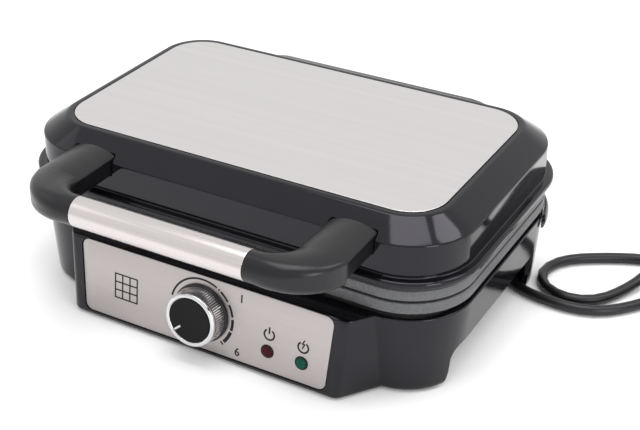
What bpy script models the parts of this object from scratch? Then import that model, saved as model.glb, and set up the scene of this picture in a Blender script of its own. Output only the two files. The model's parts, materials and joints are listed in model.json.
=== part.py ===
"""Waffle maker: a hinged lid over a base, two ribbed cooking plates and a browning dial.

Metres, +Z up, front towards -Y.  The pieces are drawn around the middle of the lid's steel
plate, and one empty moves them all so that the origin lies under the middle of the body.
"""
import math

import bmesh
import bpy
from mathutils import Matrix, Vector

# ---- Driving dimensions -------------------------------------------------------------------
PLATE_WIDTH = 0.250           # the brushed steel plate on the lid
PLATE_DEPTH = 0.145
PLATE_CORNER = 0.0235
HEIGHT = 0.109                # floor to the top of the steel plate
WALL = 0.0025                 # moulded wall
GAP = 0.0003                  # clearance between pieces that touch
LOOSE = 0.0006                # clearance between pieces that turn or lift off
SHEET = 0.0008                # pressed sheet metal

# ---- Reaches beyond the steel plate's edge, corner radii and drops from the lid's top ------
RIM_REACH, RIM_CORNER, RIM_DROP = 0.0040, 0.026, 0.0003
SHOULDER_REACH, SHOULDER_CORNER, SHOULDER_DROP = 0.0188, 0.040, 0.0105
FLANGE_REACH, FLANGE_CORNER, FLANGE_HEIGHT = 0.0238, 0.044, 0.0045
LID_DEPTH = 0.035             # lid top down to the underside of its flange
FRAME_REACH, FRAME_HEIGHT = 0.0205, 0.0024
COOK_REACH, COOK_CORNER = 0.0200, 0.041
COOK_BAND_UPPER, COOK_BAND_LOWER = 0.0065, 0.0070
COOK_SPLIT = 0.0015           # gap between the two cooking plates
COOK_BODY_REACH, COOK_BODY_DEPTH = 0.0110, 0.0090
RIM_TO_BAND = 0.0042          # open gap between the base's rim and the lower plate
BASE_REACH, BASE_CORNER = 0.0200, 0.041
BASE_FOOT_REACH, BASE_FOOT_CORNER = 0.0165, 0.036
BASE_LIFT = 0.0020            # base shell above the floor
BASE_FILLET = 0.0040

# ---- Waffle pattern ------------------------------------------------------------------------
WAFFLE_COLUMNS, WAFFLE_ROWS = 5, 6
WAFFLE_MARGIN = 0.0075        # waffle's edge inside the steel plate's outline
WAFFLE_RIB = 0.0060
WAFFLE_DEPTH = 0.0085
PEG_HEIGHT = 0.0065
PEG_DRAFT = 0.0022
WAFFLE_BRIDGE = 0.012         # land between the two waffles

# ---- Control box ---------------------------------------------------------------------------
BOX_TOP_INSET, BOX_BOTTOM_INSET = 0.0305, 0.0335    # inside the steel plate's half width
BOX_TOP_FRONT, BOX_BOTTOM_FRONT = 0.0335, 0.0396    # ahead of the steel plate's front edge
BOX_SPLAY = 0.73              # sideways run of the box's flanks for each unit backwards
PANEL_TOP_INSET, PANEL_BOTTOM_INSET = 0.0081, 0.0075    # inside the box's half width
PANEL_MARGIN = 0.0043         # level of the base's rim less the panel's height
PANEL_CORNER, PANEL_THICKNESS, PANEL_SINK = 0.005, 0.0010, 0.0004
PANEL_MARGIN_TOP = 0.0004
KNOB_RADIUS, KNOB_FRONT_RADIUS, KNOB_DEPTH = 0.0183, 0.0167, 0.0128
KNOB_CAP_RADIUS, KNOB_RING_DEPTH, KNOB_LIP = 0.0137, 0.0025, 0.0012
SHAFT_RADIUS, SHAFT_LENGTH = 0.0030, 0.0180
LENS_RADIUS, LENS_PROUD, LENS_LENGTH = 0.0040, 0.0012, 0.0060
LENS_SIDEWAYS = (0.0454, 0.0679)
LENS_BELOW_CENTRE = 0.0108
LAMP_RADIUS, LAMP_LENGTH = 0.0032, 0.0120
THERMOSTAT_RADIUS, THERMOSTAT_LENGTH = 0.0115, 0.0140
BRACKET_WIDTH, BRACKET_HEIGHT = 0.050, 0.024

# ---- Handle --------------------------------------------------------------------------------
BAR_RADIUS = 0.0089
BAR_INSET = 0.0691            # bar's end inside the steel plate's half width
BAR_REACH = 0.0710            # bar's axis ahead of the steel plate's front edge
BAR_DROP = 0.0118             # bar's axis below the lid's top
ARM_INSET, ARM_WIDTH, ARM_HEIGHT, ARM_DROP = 0.0380, 0.029, 0.0200, 0.0042
ARM_ROOT = 0.0043             # how far the arm's root reaches in from the lid's shoulder
ARM_COLLAR = 0.0060           # straight length between the arm's bend and the bar's end
SLEEVE_WALL = 0.0007
ROD_RADIUS, ROD_SEAT = 0.0035, 0.0080

# ---- Hinge ---------------------------------------------------------------------------------
HINGE_BEHIND = 0.0345         # hinge axis behind the steel plate's rear edge
HINGE_DROP = 0.0480           # hinge axis below the lid's top
HINGE_BARREL = 0.0130
HINGE_BLOCK_INSET = 0.0370    # block's end inside the steel plate's half width
HINGE_BLOCK_DROP = 0.0138
HINGE_BLOCK_SLOPE, HINGE_BLOCK_END = 0.012, 0.007    # its top falls away near each end
EAR_RADIUS, EAR_WIDTH = 0.0120, 0.0150
EAR_WEB_TOP, EAR_WEB_FOOT = 0.0052, 0.0196    # where the ear's web meets the wall, below the rim
PIN_RADIUS, PIN_LENGTH = 0.0030, 0.0240

# ---- Underside -----------------------------------------------------------------------------
ARCH_DROP, ARCH_CORNER = 0.0261, 0.009    # the arches' top below the base's rim
ARCH_FRONT_INSET, ARCH_REAR_INSET = 0.0065, 0.0225    # from the steel plate's edges
LEG_INSET_X, LEG_REACH_Y = 0.027, 0.0035
FOOT_RADIUS, FOOT_PIN = 0.0080, 0.0024
FRONT_FOOT_INSET, FRONT_FOOT_REACH = 0.0150, 0.0055
REAR_FOOT_INSET, REAR_FOOT_BACK = 0.0060, 0.0020
COVER_THICKNESS = 0.0025
SCREW_INSET_X, SCREW_INSET_Y = 0.0370, 0.0325
SCREW_HEAD, SCREW_SHANK, SCREW_HEAD_HEIGHT, SCREW_LENGTH = 0.0030, 0.0015, 0.0016, 0.0080

# ---- Heating -------------------------------------------------------------------------------
ELEMENT_RADIUS = 0.00325
ELEMENT_INSET, ELEMENT_CORNER = 0.024, 0.028
SHIELD_DEPTH = 0.0075
FUSE_RADIUS, FUSE_HALF = 0.0020, 0.0080
TERMINAL_LENGTH, TERMINAL_WIDTH, TERMINAL_HEIGHT = 0.030, 0.012, 0.006

# ---- Mains lead ----------------------------------------------------------------------------
CORD_RADIUS = 0.0034
GLAND_LENGTH, GLAND_ROOT, GLAND_TIP = 0.032, 0.0070, 0.0046
GLAND_INSET_X, GLAND_INSET_Y, GLAND_DROP = 0.0627, 0.0105, 0.0107
OUTLET_WIDTH, OUTLET_DEPTH = 0.034, 0.030
CORD_POINT_SPACING = 0.0125
COIL_RADIUS, COIL_PITCH, COIL_TURNS = 0.0375, 0.0069, 2.35
COIL_REACH_X, COIL_REACH_Y = 0.1495, 0.0555    # coil's centre beyond the plate's corner
PLUG_RADIUS, PLUG_LENGTH, PLUG_TAIL = 0.0185, 0.036, 0.024
PLUG_PIN_RADIUS, PLUG_PIN_LENGTH, PLUG_PIN_SPACING = 0.0024, 0.019, 0.019
PLUG_STANDOFF = 0.0245        # plug's tail beyond the point where the lead leaves the coil

CORNER_STEPS = 6
ROUND_STEPS = 28

# ---- Levels and places that follow ---------------------------------------------------------
HALF_X = PLATE_WIDTH / 2
HALF_Y = PLATE_DEPTH / 2
CORNER = Vector((HALF_X, HALF_Y, 0))
BOX_TOP_HALF, BOX_BOTTOM_HALF = HALF_X - BOX_TOP_INSET, HALF_X - BOX_BOTTOM_INSET
PANEL_TOP_HALF = BOX_TOP_HALF - PANEL_TOP_INSET
PANEL_BOTTOM_HALF = BOX_BOTTOM_HALF - PANEL_BOTTOM_INSET
BAR_HALF = HALF_X - BAR_INSET
ARM_CENTRE = HALF_X - ARM_INSET
HINGE_BLOCK_HALF = HALF_X - HINGE_BLOCK_INSET
ARCH_FRONT, ARCH_REAR = ARCH_FRONT_INSET - HALF_Y, HALF_Y - ARCH_REAR_INSET
WAFFLE_CELL_X = (HALF_X - WAFFLE_MARGIN - WAFFLE_BRIDGE / 2) / WAFFLE_COLUMNS
WAFFLE_CELL_Y = 2 * (HALF_Y - WAFFLE_MARGIN) / WAFFLE_ROWS
FLANGE_Z = HEIGHT - LID_DEPTH
FRAME_TOP_Z = FLANGE_Z - GAP
FRAME_Z = FRAME_TOP_Z - FRAME_HEIGHT
UPPER_TOP_Z = FRAME_Z - GAP
UPPER_Z = UPPER_TOP_Z - COOK_BAND_UPPER
LOWER_TOP_Z = UPPER_Z - COOK_SPLIT
LOWER_Z = LOWER_TOP_Z - COOK_BAND_LOWER
LOWER_BODY_Z = LOWER_Z - COOK_BODY_DEPTH
UPPER_BODY_Z = UPPER_TOP_Z + COOK_BODY_DEPTH
BASE_RIM_Z = LOWER_Z - RIM_TO_BAND
ARCH_HEIGHT = BASE_RIM_Z - ARCH_DROP
GLAND_Z = ARCH_HEIGHT - GLAND_DROP
COVER_Z = ARCH_HEIGHT + GAP
PANEL_HEIGHT = BASE_RIM_Z - PANEL_MARGIN
GLAND = CORNER + Vector((-GLAND_INSET_X, -GLAND_INSET_Y, GLAND_Z))
COIL = CORNER + Vector((COIL_REACH_X, COIL_REACH_Y, 0))
LID_CEILING_Z = HEIGHT - SHEET - GAP - WALL
HINGE_Y = HALF_Y + HINGE_BEHIND
HINGE_Z = HEIGHT - HINGE_DROP
BAR_Y = -(HALF_Y + BAR_REACH)
BAR_Z = HEIGHT - BAR_DROP
BOX_TOP = Vector((0, -(HALF_Y + BOX_TOP_FRONT), BASE_RIM_Z))
BOX_BOTTOM = Vector((0, -(HALF_Y + BOX_BOTTOM_FRONT), BASE_LIFT))
BOX_UP = (BOX_TOP - BOX_BOTTOM).normalized()
BOX_OUT = Vector((1, 0, 0)).cross(BOX_UP).normalized()
PANEL_CENTRE = BOX_TOP - BOX_UP * (PANEL_MARGIN_TOP + PANEL_HEIGHT / 2)
FRONT_Y = BAR_Y - BAR_RADIUS
REAR_Y = HINGE_Y + HINGE_BARREL
FRAME_SHIFT = Vector((0, -(FRONT_Y + REAR_Y) / 2, 0))


# ---- Materials -----------------------------------------------------------------------------
def finish(name, colour, roughness, metallic=0.0, transmission=0.0):
    """A Principled material of one colour."""
    material = bpy.data.materials.new(name)
    material.use_nodes = True
    shader = material.node_tree.nodes["Principled BSDF"]
    shader.inputs["Base Color"].default_value = (*colour, 1.0)
    shader.inputs["Roughness"].default_value = roughness
    shader.inputs["Metallic"].default_value = metallic
    shader.inputs["Transmission Weight"].default_value = transmission
    material.diffuse_color = (*colour, 1.0)
    return material


# ---- Rings of points -----------------------------------------------------------------------
def arc(centre_x, centre_y, radius, start, sweep, steps):
    """Points in the XY plane along a circle, angles in degrees."""
    angles = [math.radians(start + sweep * k / steps) for k in range(steps + 1)]
    return [(centre_x + radius * math.cos(a), centre_y + radius * math.sin(a)) for a in angles]


def rounded(half_x, half_y, radius, z):
    """A rounded rectangle at height z, anticlockwise from above, from the front right corner."""
    points = []
    for side_x, side_y, start in ((1, -1, -90), (1, 1, 0), (-1, 1, 90), (-1, -1, 180)):
        points += arc(side_x * (half_x - radius), side_y * (half_y - radius), radius, start, 90,
                      CORNER_STEPS)
    return [Vector((x, y, z)) for x, y in points]


def around(reach, z, corner):
    """A rounded rectangle that stands `reach` beyond the steel plate's edge."""
    return rounded(HALF_X + reach, HALF_Y + reach, corner, z)


def circle(radius, z, steps=ROUND_STEPS):
    """A circle around the Z axis."""
    return [Vector((x, y, z)) for x, y in arc(0, 0, radius, 0, 360, steps)[:-1]]


def across(profile, x):
    """A loop given as (y, z) pairs, laid in the plane at x."""
    return [Vector((x, y, z)) for y, z in profile]


# ---- Objects -------------------------------------------------------------------------------
def pivot(name, location, rotation=None, parent=None):
    """An empty that carries pieces."""
    empty = bpy.data.objects.new(name, None)
    empty.location = location
    if rotation is not None:
        empty.rotation_euler = rotation.to_euler()
    empty.parent = parent
    bpy.context.scene.collection.objects.link(empty)
    return empty


def settle(name, shape, material, carrier, location=None, rotation=None):
    """Turn a bmesh into an object on its carrier."""
    bmesh.ops.recalc_face_normals(shape, faces=shape.faces)
    mesh = bpy.data.meshes.new(name)
    shape.to_mesh(mesh)
    shape.free()
    mesh.shade_smooth()
    mesh.set_sharp_from_angle(angle=math.radians(30))
    piece = bpy.data.objects.new(name, mesh)
    if material is not None:
        mesh.materials.append(material)
    bpy.context.scene.collection.objects.link(piece)
    piece.parent = carrier
    if location is not None:
        piece.location = location
        if rotation is not None:
            piece.rotation_euler = rotation.to_euler()
    elif carrier.get("drawn_in_place"):
        piece.location = -carrier.location
    return piece


def solid(name, rings, material, carrier, closed=False, location=None, rotation=None):
    """Join rings of equal length into one closed piece; open ends are capped."""
    count = len(rings[0])
    shape = bmesh.new()
    verts = [[shape.verts.new(p) for p in ring] for ring in rings]
    pairs = list(zip(verts, verts[1:]))
    if closed:
        pairs.append((verts[-1], verts[0]))
    for low, high in pairs:
        for k in range(count):
            n = (k + 1) % count
            shape.faces.new((low[k], low[n], high[n], high[k]))
    if not closed:
        shape.faces.new(list(reversed(verts[0])))
        shape.faces.new(verts[-1])
    return settle(name, shape, material, carrier, location, rotation)


def as_tool(piece):
    """Mark a shape that only joins or cuts another piece."""
    piece.hide_render = True
    piece.display_type = "WIRE"
    return piece


def tool(name, rings, carrier, **options):
    return as_tool(solid(name, rings, None, carrier, **options))


def combine(piece, other, operation):
    """Cut, join or intersect a piece with another shape."""
    modifier = piece.modifiers.new(other.name, "BOOLEAN")
    modifier.operation = operation
    modifier.solver = "EXACT"
    modifier.object = other


def cut(piece, *tools):
    for other in tools:
        combine(piece, other, "DIFFERENCE")


def box_rings(low, high):
    """A plain block between two corners."""
    x0, y0, z0 = low
    x1, y1, z1 = high
    return [[Vector((x0, y0, z)), Vector((x1, y0, z)), Vector((x1, y1, z)), Vector((x0, y1, z))]
            for z in (z0, z1)]


def disc_rings(profile, steps=ROUND_STEPS):
    """Circles for a turned piece, given as (radius, z) pairs."""
    return [circle(r, z, steps) for r, z in profile]


def smooth_route(points, spacing):
    """Evenly spaced points on a Catmull-Rom curve through the route's own points."""
    route = [2 * points[0] - points[1]] + points + [2 * points[-1] - points[-2]]
    dense = []
    for a, b, c, d in zip(route, route[1:], route[2:], route[3:]):
        for k in range(24):
            t = k / 24
            dense.append(0.5 * (2 * b + (c - a) * t + (2 * a - 5 * b + 4 * c - d) * t * t
                                + (3 * b - a - 3 * c + d) * t ** 3))
    dense.append(points[-1])
    length = sum((q - p).length for p, q in zip(dense, dense[1:]))
    count = max(2, round(length / spacing))
    step = length / count
    even, run, target = [dense[0]], 0.0, step
    for p, q in zip(dense, dense[1:]):
        leg = (q - p).length
        while leg > 0 and run + leg >= target - 1e-9 and len(even) < count:
            even.append(p.lerp(q, (target - run) / leg))
            target += step
        run += leg
    even.append(dense[-1])
    return even


def tube(name, points, radius, resolution, material, carrier, cyclic=False):
    """A round tube along points, with filled caps."""
    curve = bpy.data.curves.new(name, "CURVE")
    curve.dimensions = "3D"
    curve.bevel_depth = radius
    curve.bevel_resolution = resolution
    curve.use_fill_caps = True
    spline = curve.splines.new("POLY")
    spline.points.add(len(points) - 1)
    for knot, point in zip(spline.points, points):
        knot.co = (*point, 1.0)
    spline.use_cyclic_u = cyclic
    curve.materials.append(material)
    piece = bpy.data.objects.new(name, curve)
    bpy.context.scene.collection.objects.link(piece)
    piece.parent = carrier
    if carrier.get("drawn_in_place"):
        piece.location = -carrier.location
    return piece


# ---- Lid -----------------------------------------------------------------------------------
def lid_outer_rings(grow=0.0):
    """The lid's outside from its flange up to its rim."""
    return [
        around(FLANGE_REACH + grow, FLANGE_Z - grow, FLANGE_CORNER + grow),
        around(FLANGE_REACH + grow, FLANGE_Z + FLANGE_HEIGHT * 0.6, FLANGE_CORNER + grow),
        around(SHOULDER_REACH + grow, FLANGE_Z + FLANGE_HEIGHT + grow, SHOULDER_CORNER + grow),
        around(SHOULDER_REACH + grow, HEIGHT - SHOULDER_DROP, SHOULDER_CORNER + grow),
        around(RIM_REACH + grow, HEIGHT - RIM_DROP + grow, RIM_CORNER + grow),
    ]


def build_lid(carrier, paint):
    plastic, steel, cast = paint["glossy_plastic"], paint["brushed_steel"], paint["cast_coating"]
    pocket_z = HEIGHT - SHEET - GAP
    inner = SHOULDER_REACH - WALL
    rings = [
        around(RIM_REACH - WALL, LID_CEILING_Z, RIM_CORNER - WALL),
        around(inner, HEIGHT - SHOULDER_DROP - WALL, SHOULDER_CORNER - WALL),
        around(inner, FLANGE_Z, SHOULDER_CORNER - WALL),
        *lid_outer_rings(),
        around(GAP, HEIGHT - RIM_DROP, PLATE_CORNER + GAP),
        around(GAP, pocket_z, PLATE_CORNER + GAP),
    ]
    solid("lid_shell", rings, plastic, carrier)
    solid("lid_top_plate", [around(0, HEIGHT - SHEET, PLATE_CORNER),
                            around(0, HEIGHT, PLATE_CORNER)], steel, carrier)
    inside = COOK_BODY_REACH + GAP
    inside_corner = COOK_CORNER - COOK_REACH + inside
    solid("lid_inner_frame", [
        around(FRAME_REACH, FRAME_Z, COOK_CORNER),
        around(FRAME_REACH, FRAME_TOP_Z, COOK_CORNER),
        around(inside, FRAME_TOP_Z, inside_corner),
        around(inside, FRAME_Z, inside_corner),
    ], plastic, carrier, closed=True)
    build_cooking_plate("upper_cooking_plate", carrier, cast, UPPER_Z, UPPER_TOP_Z, UPPER_BODY_Z)
    build_element("upper_heating_element", carrier, paint["element_steel"],
                  UPPER_BODY_Z + ELEMENT_RADIUS + GAP)
    shield_z = UPPER_BODY_Z + 2 * ELEMENT_RADIUS + 2 * GAP
    build_shield("upper_heat_shield", carrier, paint["sheet_steel"], shield_z, -1)


def build_cooking_plate(name, carrier, material, face_z, band_z, body_z):
    """A die-cast plate: an outer band, a thicker body and two fields of square pegs."""
    body_corner = COOK_CORNER - COOK_REACH + COOK_BODY_REACH
    plate = solid(name, [
        around(COOK_REACH, face_z, COOK_CORNER),
        around(COOK_REACH, band_z, COOK_CORNER),
        around(COOK_BODY_REACH, band_z, body_corner),
        around(COOK_BODY_REACH, body_z, body_corner),
    ], material, carrier)
    inward = math.copysign(1.0, body_z - face_z)
    field_x = WAFFLE_COLUMNS * WAFFLE_CELL_X
    for side in (-1, 1):
        start_x = WAFFLE_BRIDGE / 2 if side > 0 else -WAFFLE_BRIDGE / 2 - field_x
        field = waffle_field(f"{name}_field_{side}", carrier, start_x, face_z, inward)
        cut(plate, field)
    return plate


def waffle_field(name, carrier, start_x, face_z, inward):
    """A cutter for one waffle: a shallow block with a square hole for every peg."""
    start_y = -WAFFLE_ROWS * WAFFLE_CELL_Y / 2
    floor_z = face_z + inward * WAFFLE_DEPTH
    peg_z = face_z + inward * (WAFFLE_DEPTH - PEG_HEIGHT)
    mouth_z = face_z - inward * COOK_SPLIT / 2
    shape = bmesh.new()
    seen = {}

    def vert(x, y, z):
        key = (round(x, 6), round(y, 6), round(z, 6))
        if key not in seen:
            seen[key] = shape.verts.new((x, y, z))
        return seen[key]

    def quad(corners):
        shape.faces.new([vert(*corner) for corner in corners])

    def square(x0, y0, z, inset=0.0):
        x1, y1 = x0 + WAFFLE_CELL_X - inset, y0 + WAFFLE_CELL_Y - inset
        return [(x0 + inset, y0 + inset, z), (x1, y0 + inset, z), (x1, y1, z),
                (x0 + inset, y1, z)]

    for column in range(WAFFLE_COLUMNS):
        for row in range(WAFFLE_ROWS):
            x0 = start_x + column * WAFFLE_CELL_X
            y0 = start_y + row * WAFFLE_CELL_Y
            cell = square(x0, y0, floor_z)
            foot = square(x0, y0, floor_z, WAFFLE_RIB / 2)
            head = square(x0, y0, peg_z, WAFFLE_RIB / 2 + PEG_DRAFT)
            for k in range(4):
                n = (k + 1) % 4
                quad((cell[k], cell[n], foot[n], foot[k]))
                quad((foot[k], foot[n], head[n], head[k]))
            quad(head)
    end_x = start_x + WAFFLE_COLUMNS * WAFFLE_CELL_X
    for column in range(WAFFLE_COLUMNS):
        x0 = start_x + column * WAFFLE_CELL_X
        for y in (start_y, -start_y):
            quad(((x0, y, floor_z), (x0 + WAFFLE_CELL_X, y, floor_z),
                  (x0 + WAFFLE_CELL_X, y, mouth_z), (x0, y, mouth_z)))
    for row in range(WAFFLE_ROWS):
        y0 = start_y + row * WAFFLE_CELL_Y
        for x in (start_x, end_x):
            quad(((x, y0, floor_z), (x, y0 + WAFFLE_CELL_Y, floor_z),
                  (x, y0 + WAFFLE_CELL_Y, mouth_z), (x, y0, mouth_z)))
    edge = [(start_x + k * WAFFLE_CELL_X, start_y, mouth_z) for k in range(WAFFLE_COLUMNS)]
    edge += [(end_x, start_y + k * WAFFLE_CELL_Y, mouth_z) for k in range(WAFFLE_ROWS)]
    edge += [(end_x - k * WAFFLE_CELL_X, -start_y, mouth_z) for k in range(WAFFLE_COLUMNS)]
    edge += [(start_x, -start_y - k * WAFFLE_CELL_Y, mouth_z) for k in range(WAFFLE_ROWS)]
    quad(edge)
    return as_tool(settle(name, shape, None, carrier))


def build_element(name, carrier, material, z):
    """A sheathed heating rod in one open loop, with its two ends at the rear."""
    half_y = HALF_Y - ELEMENT_INSET
    loop = rounded(HALF_X - ELEMENT_INSET, half_y, ELEMENT_CORNER, z)
    opening = len(loop) // 2
    points = loop[opening:] + loop[:opening]
    gap_half = 2.5 * ELEMENT_RADIUS
    ends = [Vector((-gap_half, half_y, z)), Vector((gap_half, half_y, z))]
    tube(name, [ends[0]] + points + [ends[1]], ELEMENT_RADIUS, 1, material, carrier)


def build_shield(name, carrier, material, z, facing):
    """A pressed tray that reflects heat; facing is the side that its rim stands on."""
    reach = COOK_BODY_REACH - SHEET - LOOSE
    corner = COOK_CORNER - COOK_REACH + reach
    rim_z = z + facing * (SHIELD_DEPTH - SHEET)
    far_z = z - facing * SHEET
    solid(name, [
        around(reach - SHEET, z, corner - SHEET),
        around(reach - SHEET, rim_z, corner - SHEET),
        around(reach, rim_z, corner),
        around(reach, far_z, corner),
    ], material, carrier)


def block_profile(drop):
    """The hinge block's section: a barrel about the axis and a shoulder up behind the lid."""
    top_z = HEIGHT - drop
    front_y = HALF_Y + SHOULDER_REACH - WALL
    profile = arc(HINGE_Y, HINGE_Z, HINGE_BARREL, 180, 180, 12)
    profile += arc(HINGE_Y, top_z - HINGE_BARREL, HINGE_BARREL, 0, 90, 6)
    profile += [(front_y, top_z), (front_y, FLANGE_Z + FLANGE_HEIGHT),
                (HINGE_Y - HINGE_BARREL, FLANGE_Z - LOOSE)]
    return profile


def build_hinge_block(carrier, paint):
    """The lid's rear block, round about the hinge axis, with a bore for each pin."""
    end_drop = HINGE_BLOCK_DROP + HINGE_BLOCK_END
    stations = ((-HINGE_BLOCK_HALF, end_drop), (HINGE_BLOCK_SLOPE - HINGE_BLOCK_HALF,
                HINGE_BLOCK_DROP), (HINGE_BLOCK_HALF - HINGE_BLOCK_SLOPE, HINGE_BLOCK_DROP),
                (HINGE_BLOCK_HALF, end_drop))
    block = solid("lid_hinge_block", [across(block_profile(drop), x) for x, drop in stations],
                  paint["glossy_plastic"], carrier)
    cut(block, tool("lid_clearance", lid_outer_rings(GAP), carrier))
    bore_depth = PIN_LENGTH - EAR_WIDTH
    for side in (-1, 1):
        start = side * (HINGE_BLOCK_HALF - bore_depth - LOOSE)
        end = side * (HINGE_BLOCK_HALF + LOOSE)
        ring = arc(HINGE_Y, HINGE_Z, PIN_RADIUS + GAP, 0, 360, 12)[:-1]
        cut(block, tool(f"block_bore_{side}", [across(ring, start), across(ring, end)], carrier))


def arm_rings(side):
    """Sections of one handle arm, from its root at the lid to the collar on the bar."""
    root_y = -(HALF_Y + SHOULDER_REACH - ARM_ROOT)
    bend = ARM_CENTRE - BAR_HALF - ARM_COLLAR
    arm_z = HEIGHT - ARM_DROP - ARM_HEIGHT / 2
    stations = [(Vector((ARM_CENTRE, root_y, arm_z)), 90.0, 0.0),
                (Vector((ARM_CENTRE, BAR_Y + bend + ARM_COLLAR, arm_z)), 90.0, 0.0)]
    for k in range(1, 6):
        angle = math.radians(90 * k / 5)
        x = ARM_CENTRE - bend + bend * math.cos(angle)
        y = BAR_Y + bend - bend * math.sin(angle)
        blend = k / 5
        z = arm_z + (BAR_Z - arm_z) * blend
        stations.append((Vector((x, y, z)), 90.0 - 90.0 * blend, blend))
    stations.append((Vector((BAR_HALF + GAP, BAR_Y, BAR_Z)), 0.0, 1.0))
    rings = []
    for centre, heading, blend in stations:
        half_w = (ARM_WIDTH / 2) * (1 - blend) + BAR_RADIUS * blend
        half_h = (ARM_HEIGHT / 2) * (1 - blend) + BAR_RADIUS * blend
        radius = min(half_w, half_h) * (0.5 + 0.5 * blend)
        turn = math.radians(heading)
        sideways = Vector((math.sin(turn), -math.cos(turn), 0))
        ring = []
        for cx, cy, start in ((1, -1, -90), (1, 1, 0), (-1, 1, 90), (-1, -1, 180)):
            for u, v in arc(cx * (half_w - radius), cy * (half_h - radius), radius,
                            start + 11.25, 67.5, 3):
                point = centre + sideways * u + Vector((0, 0, v))
                ring.append(Vector((side * point.x, point.y, point.z)))
        rings.append(ring)
    return rings


def build_handle(carrier, paint):
    """Two moulded arms, a rod between them and a steel sleeve around the rod."""
    seat = BAR_HALF + ROD_SEAT
    for side, label in ((-1, "left"), (1, "right")):
        arm = solid(f"handle_arm_{label}", arm_rings(side), paint["satin_plastic"], carrier)
        cut(arm, tool(f"arm_clearance_{label}", lid_outer_rings(GAP), carrier))
        bore = arc(BAR_Y, BAR_Z, ROD_RADIUS + GAP, 0, 360, 16)[:-1]
        cut(arm, tool(f"arm_bore_{label}", [across(bore, side * (BAR_HALF - WALL)),
                                            across(bore, side * (seat + GAP))], carrier))
    outer = arc(BAR_Y, BAR_Z, BAR_RADIUS, 0, 360, ROUND_STEPS)[:-1]
    inner = arc(BAR_Y, BAR_Z, BAR_RADIUS - SLEEVE_WALL, 0, 360, ROUND_STEPS)[:-1]
    solid("handle_sleeve", [across(inner, -BAR_HALF), across(outer, -BAR_HALF),
                            across(outer, BAR_HALF), across(inner, BAR_HALF)],
          paint["brushed_steel"], carrier, closed=True)
    rod = arc(BAR_Y, BAR_Z, ROD_RADIUS, 0, 360, 12)[:-1]
    solid("handle_rod", [across(rod, -seat), across(rod, seat)], paint["sheet_steel"], carrier)


# ---- Base ----------------------------------------------------------------------------------
def box_loop(point, half, back, shrink=0.0):
    """Corners of the control box at one height: its front edge, then its flanks' rear ends."""
    front = point.y + shrink
    run = back - front
    reach = half - shrink
    return [Vector((-reach, front, point.z)), Vector((reach, front, point.z)),
            Vector((reach + BOX_SPLAY * run, back, point.z)),
            Vector((-reach - BOX_SPLAY * run, back, point.z))]


def build_base_shell(carrier, paint):
    foot_z = BASE_LIFT + BASE_FILLET
    floor_z = BASE_LIFT + WALL
    rings = [
        around(BASE_FOOT_REACH - BASE_FILLET, BASE_LIFT, BASE_FOOT_CORNER - BASE_FILLET),
        around(BASE_FOOT_REACH - BASE_FILLET * 0.3, BASE_LIFT + BASE_FILLET * 0.3,
                  BASE_FOOT_CORNER - BASE_FILLET * 0.3),
        around(BASE_FOOT_REACH, foot_z, BASE_FOOT_CORNER),
        around(BASE_REACH, BASE_RIM_Z, BASE_CORNER),
        around(BASE_REACH - WALL, BASE_RIM_Z, BASE_CORNER - WALL),
        around(BASE_FOOT_REACH - WALL, foot_z + WALL, BASE_FOOT_CORNER - WALL),
        around(BASE_FOOT_REACH - WALL - BASE_FILLET, floor_z,
                  BASE_FOOT_CORNER - WALL - BASE_FILLET),
    ]
    shell = solid("base_shell", rings, paint["glossy_plastic"], carrier)
    back_low = -(HALF_Y + BASE_FOOT_REACH) + WALL / 2
    back_high = -(HALF_Y + BASE_REACH) + WALL / 2
    combine(shell, tool("control_box", [box_loop(BOX_BOTTOM, BOX_BOTTOM_HALF, back_low),
                                        box_loop(BOX_TOP, BOX_TOP_HALF, back_high)],
                        carrier), "UNION")
    low, high = BOX_BOTTOM + Vector((0, 0, WALL)), BOX_TOP - Vector((0, 0, WALL))
    cut(shell, tool("box_hollow", [box_loop(low, BOX_BOTTOM_HALF, back_low + 2 * WALL, WALL),
                                   box_loop(high, BOX_TOP_HALF, back_high + WALL, WALL)],
                    carrier))
    for side, label in ((-1, "left"), (1, "right")):
        combine(shell, ear_tool(label, side, carrier), "UNION")
        ring = arc(HINGE_Y, HINGE_Z, PIN_RADIUS + GAP, 0, 360, 12)[:-1]
        inner = side * HINGE_BLOCK_HALF
        outer = side * (HINGE_BLOCK_HALF + EAR_WIDTH + 2 * WALL)
        cut(shell, tool(f"ear_bore_{label}", [across(ring, inner), across(ring, outer)], carrier))
    cut(shell, arch_tool(carrier), underside_tool(carrier))
    return shell


def ear_tool(label, side, carrier):
    """A hinge ear: a disc about the hinge axis with a web down the rear wall."""
    wall_y = HALF_Y + BASE_REACH - WALL / 2
    profile = arc(HINGE_Y, HINGE_Z, EAR_RADIUS, -45, 195, 12)
    profile += [(wall_y, BASE_RIM_Z - EAR_WEB_TOP), (wall_y, BASE_RIM_Z - EAR_WEB_FOOT)]
    start = side * (HINGE_BLOCK_HALF + LOOSE)
    return tool(f"hinge_ear_{label}", [across(profile, start),
                                       across(profile, start + side * EAR_WIDTH)], carrier)


def arch_tool(carrier):
    """The opening under the side walls, rounded at its front top corner."""
    below = -BASE_LIFT
    profile = [(ARCH_REAR, below), (ARCH_REAR, ARCH_HEIGHT)]
    profile += arc(ARCH_FRONT + ARCH_CORNER, ARCH_HEIGHT - ARCH_CORNER, ARCH_CORNER, 90, 90, 6)
    profile += [(ARCH_FRONT, below)]
    far = HALF_X + BASE_REACH + WALL
    return tool("side_arches", [across(profile, -far), across(profile, far)], carrier)


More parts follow.
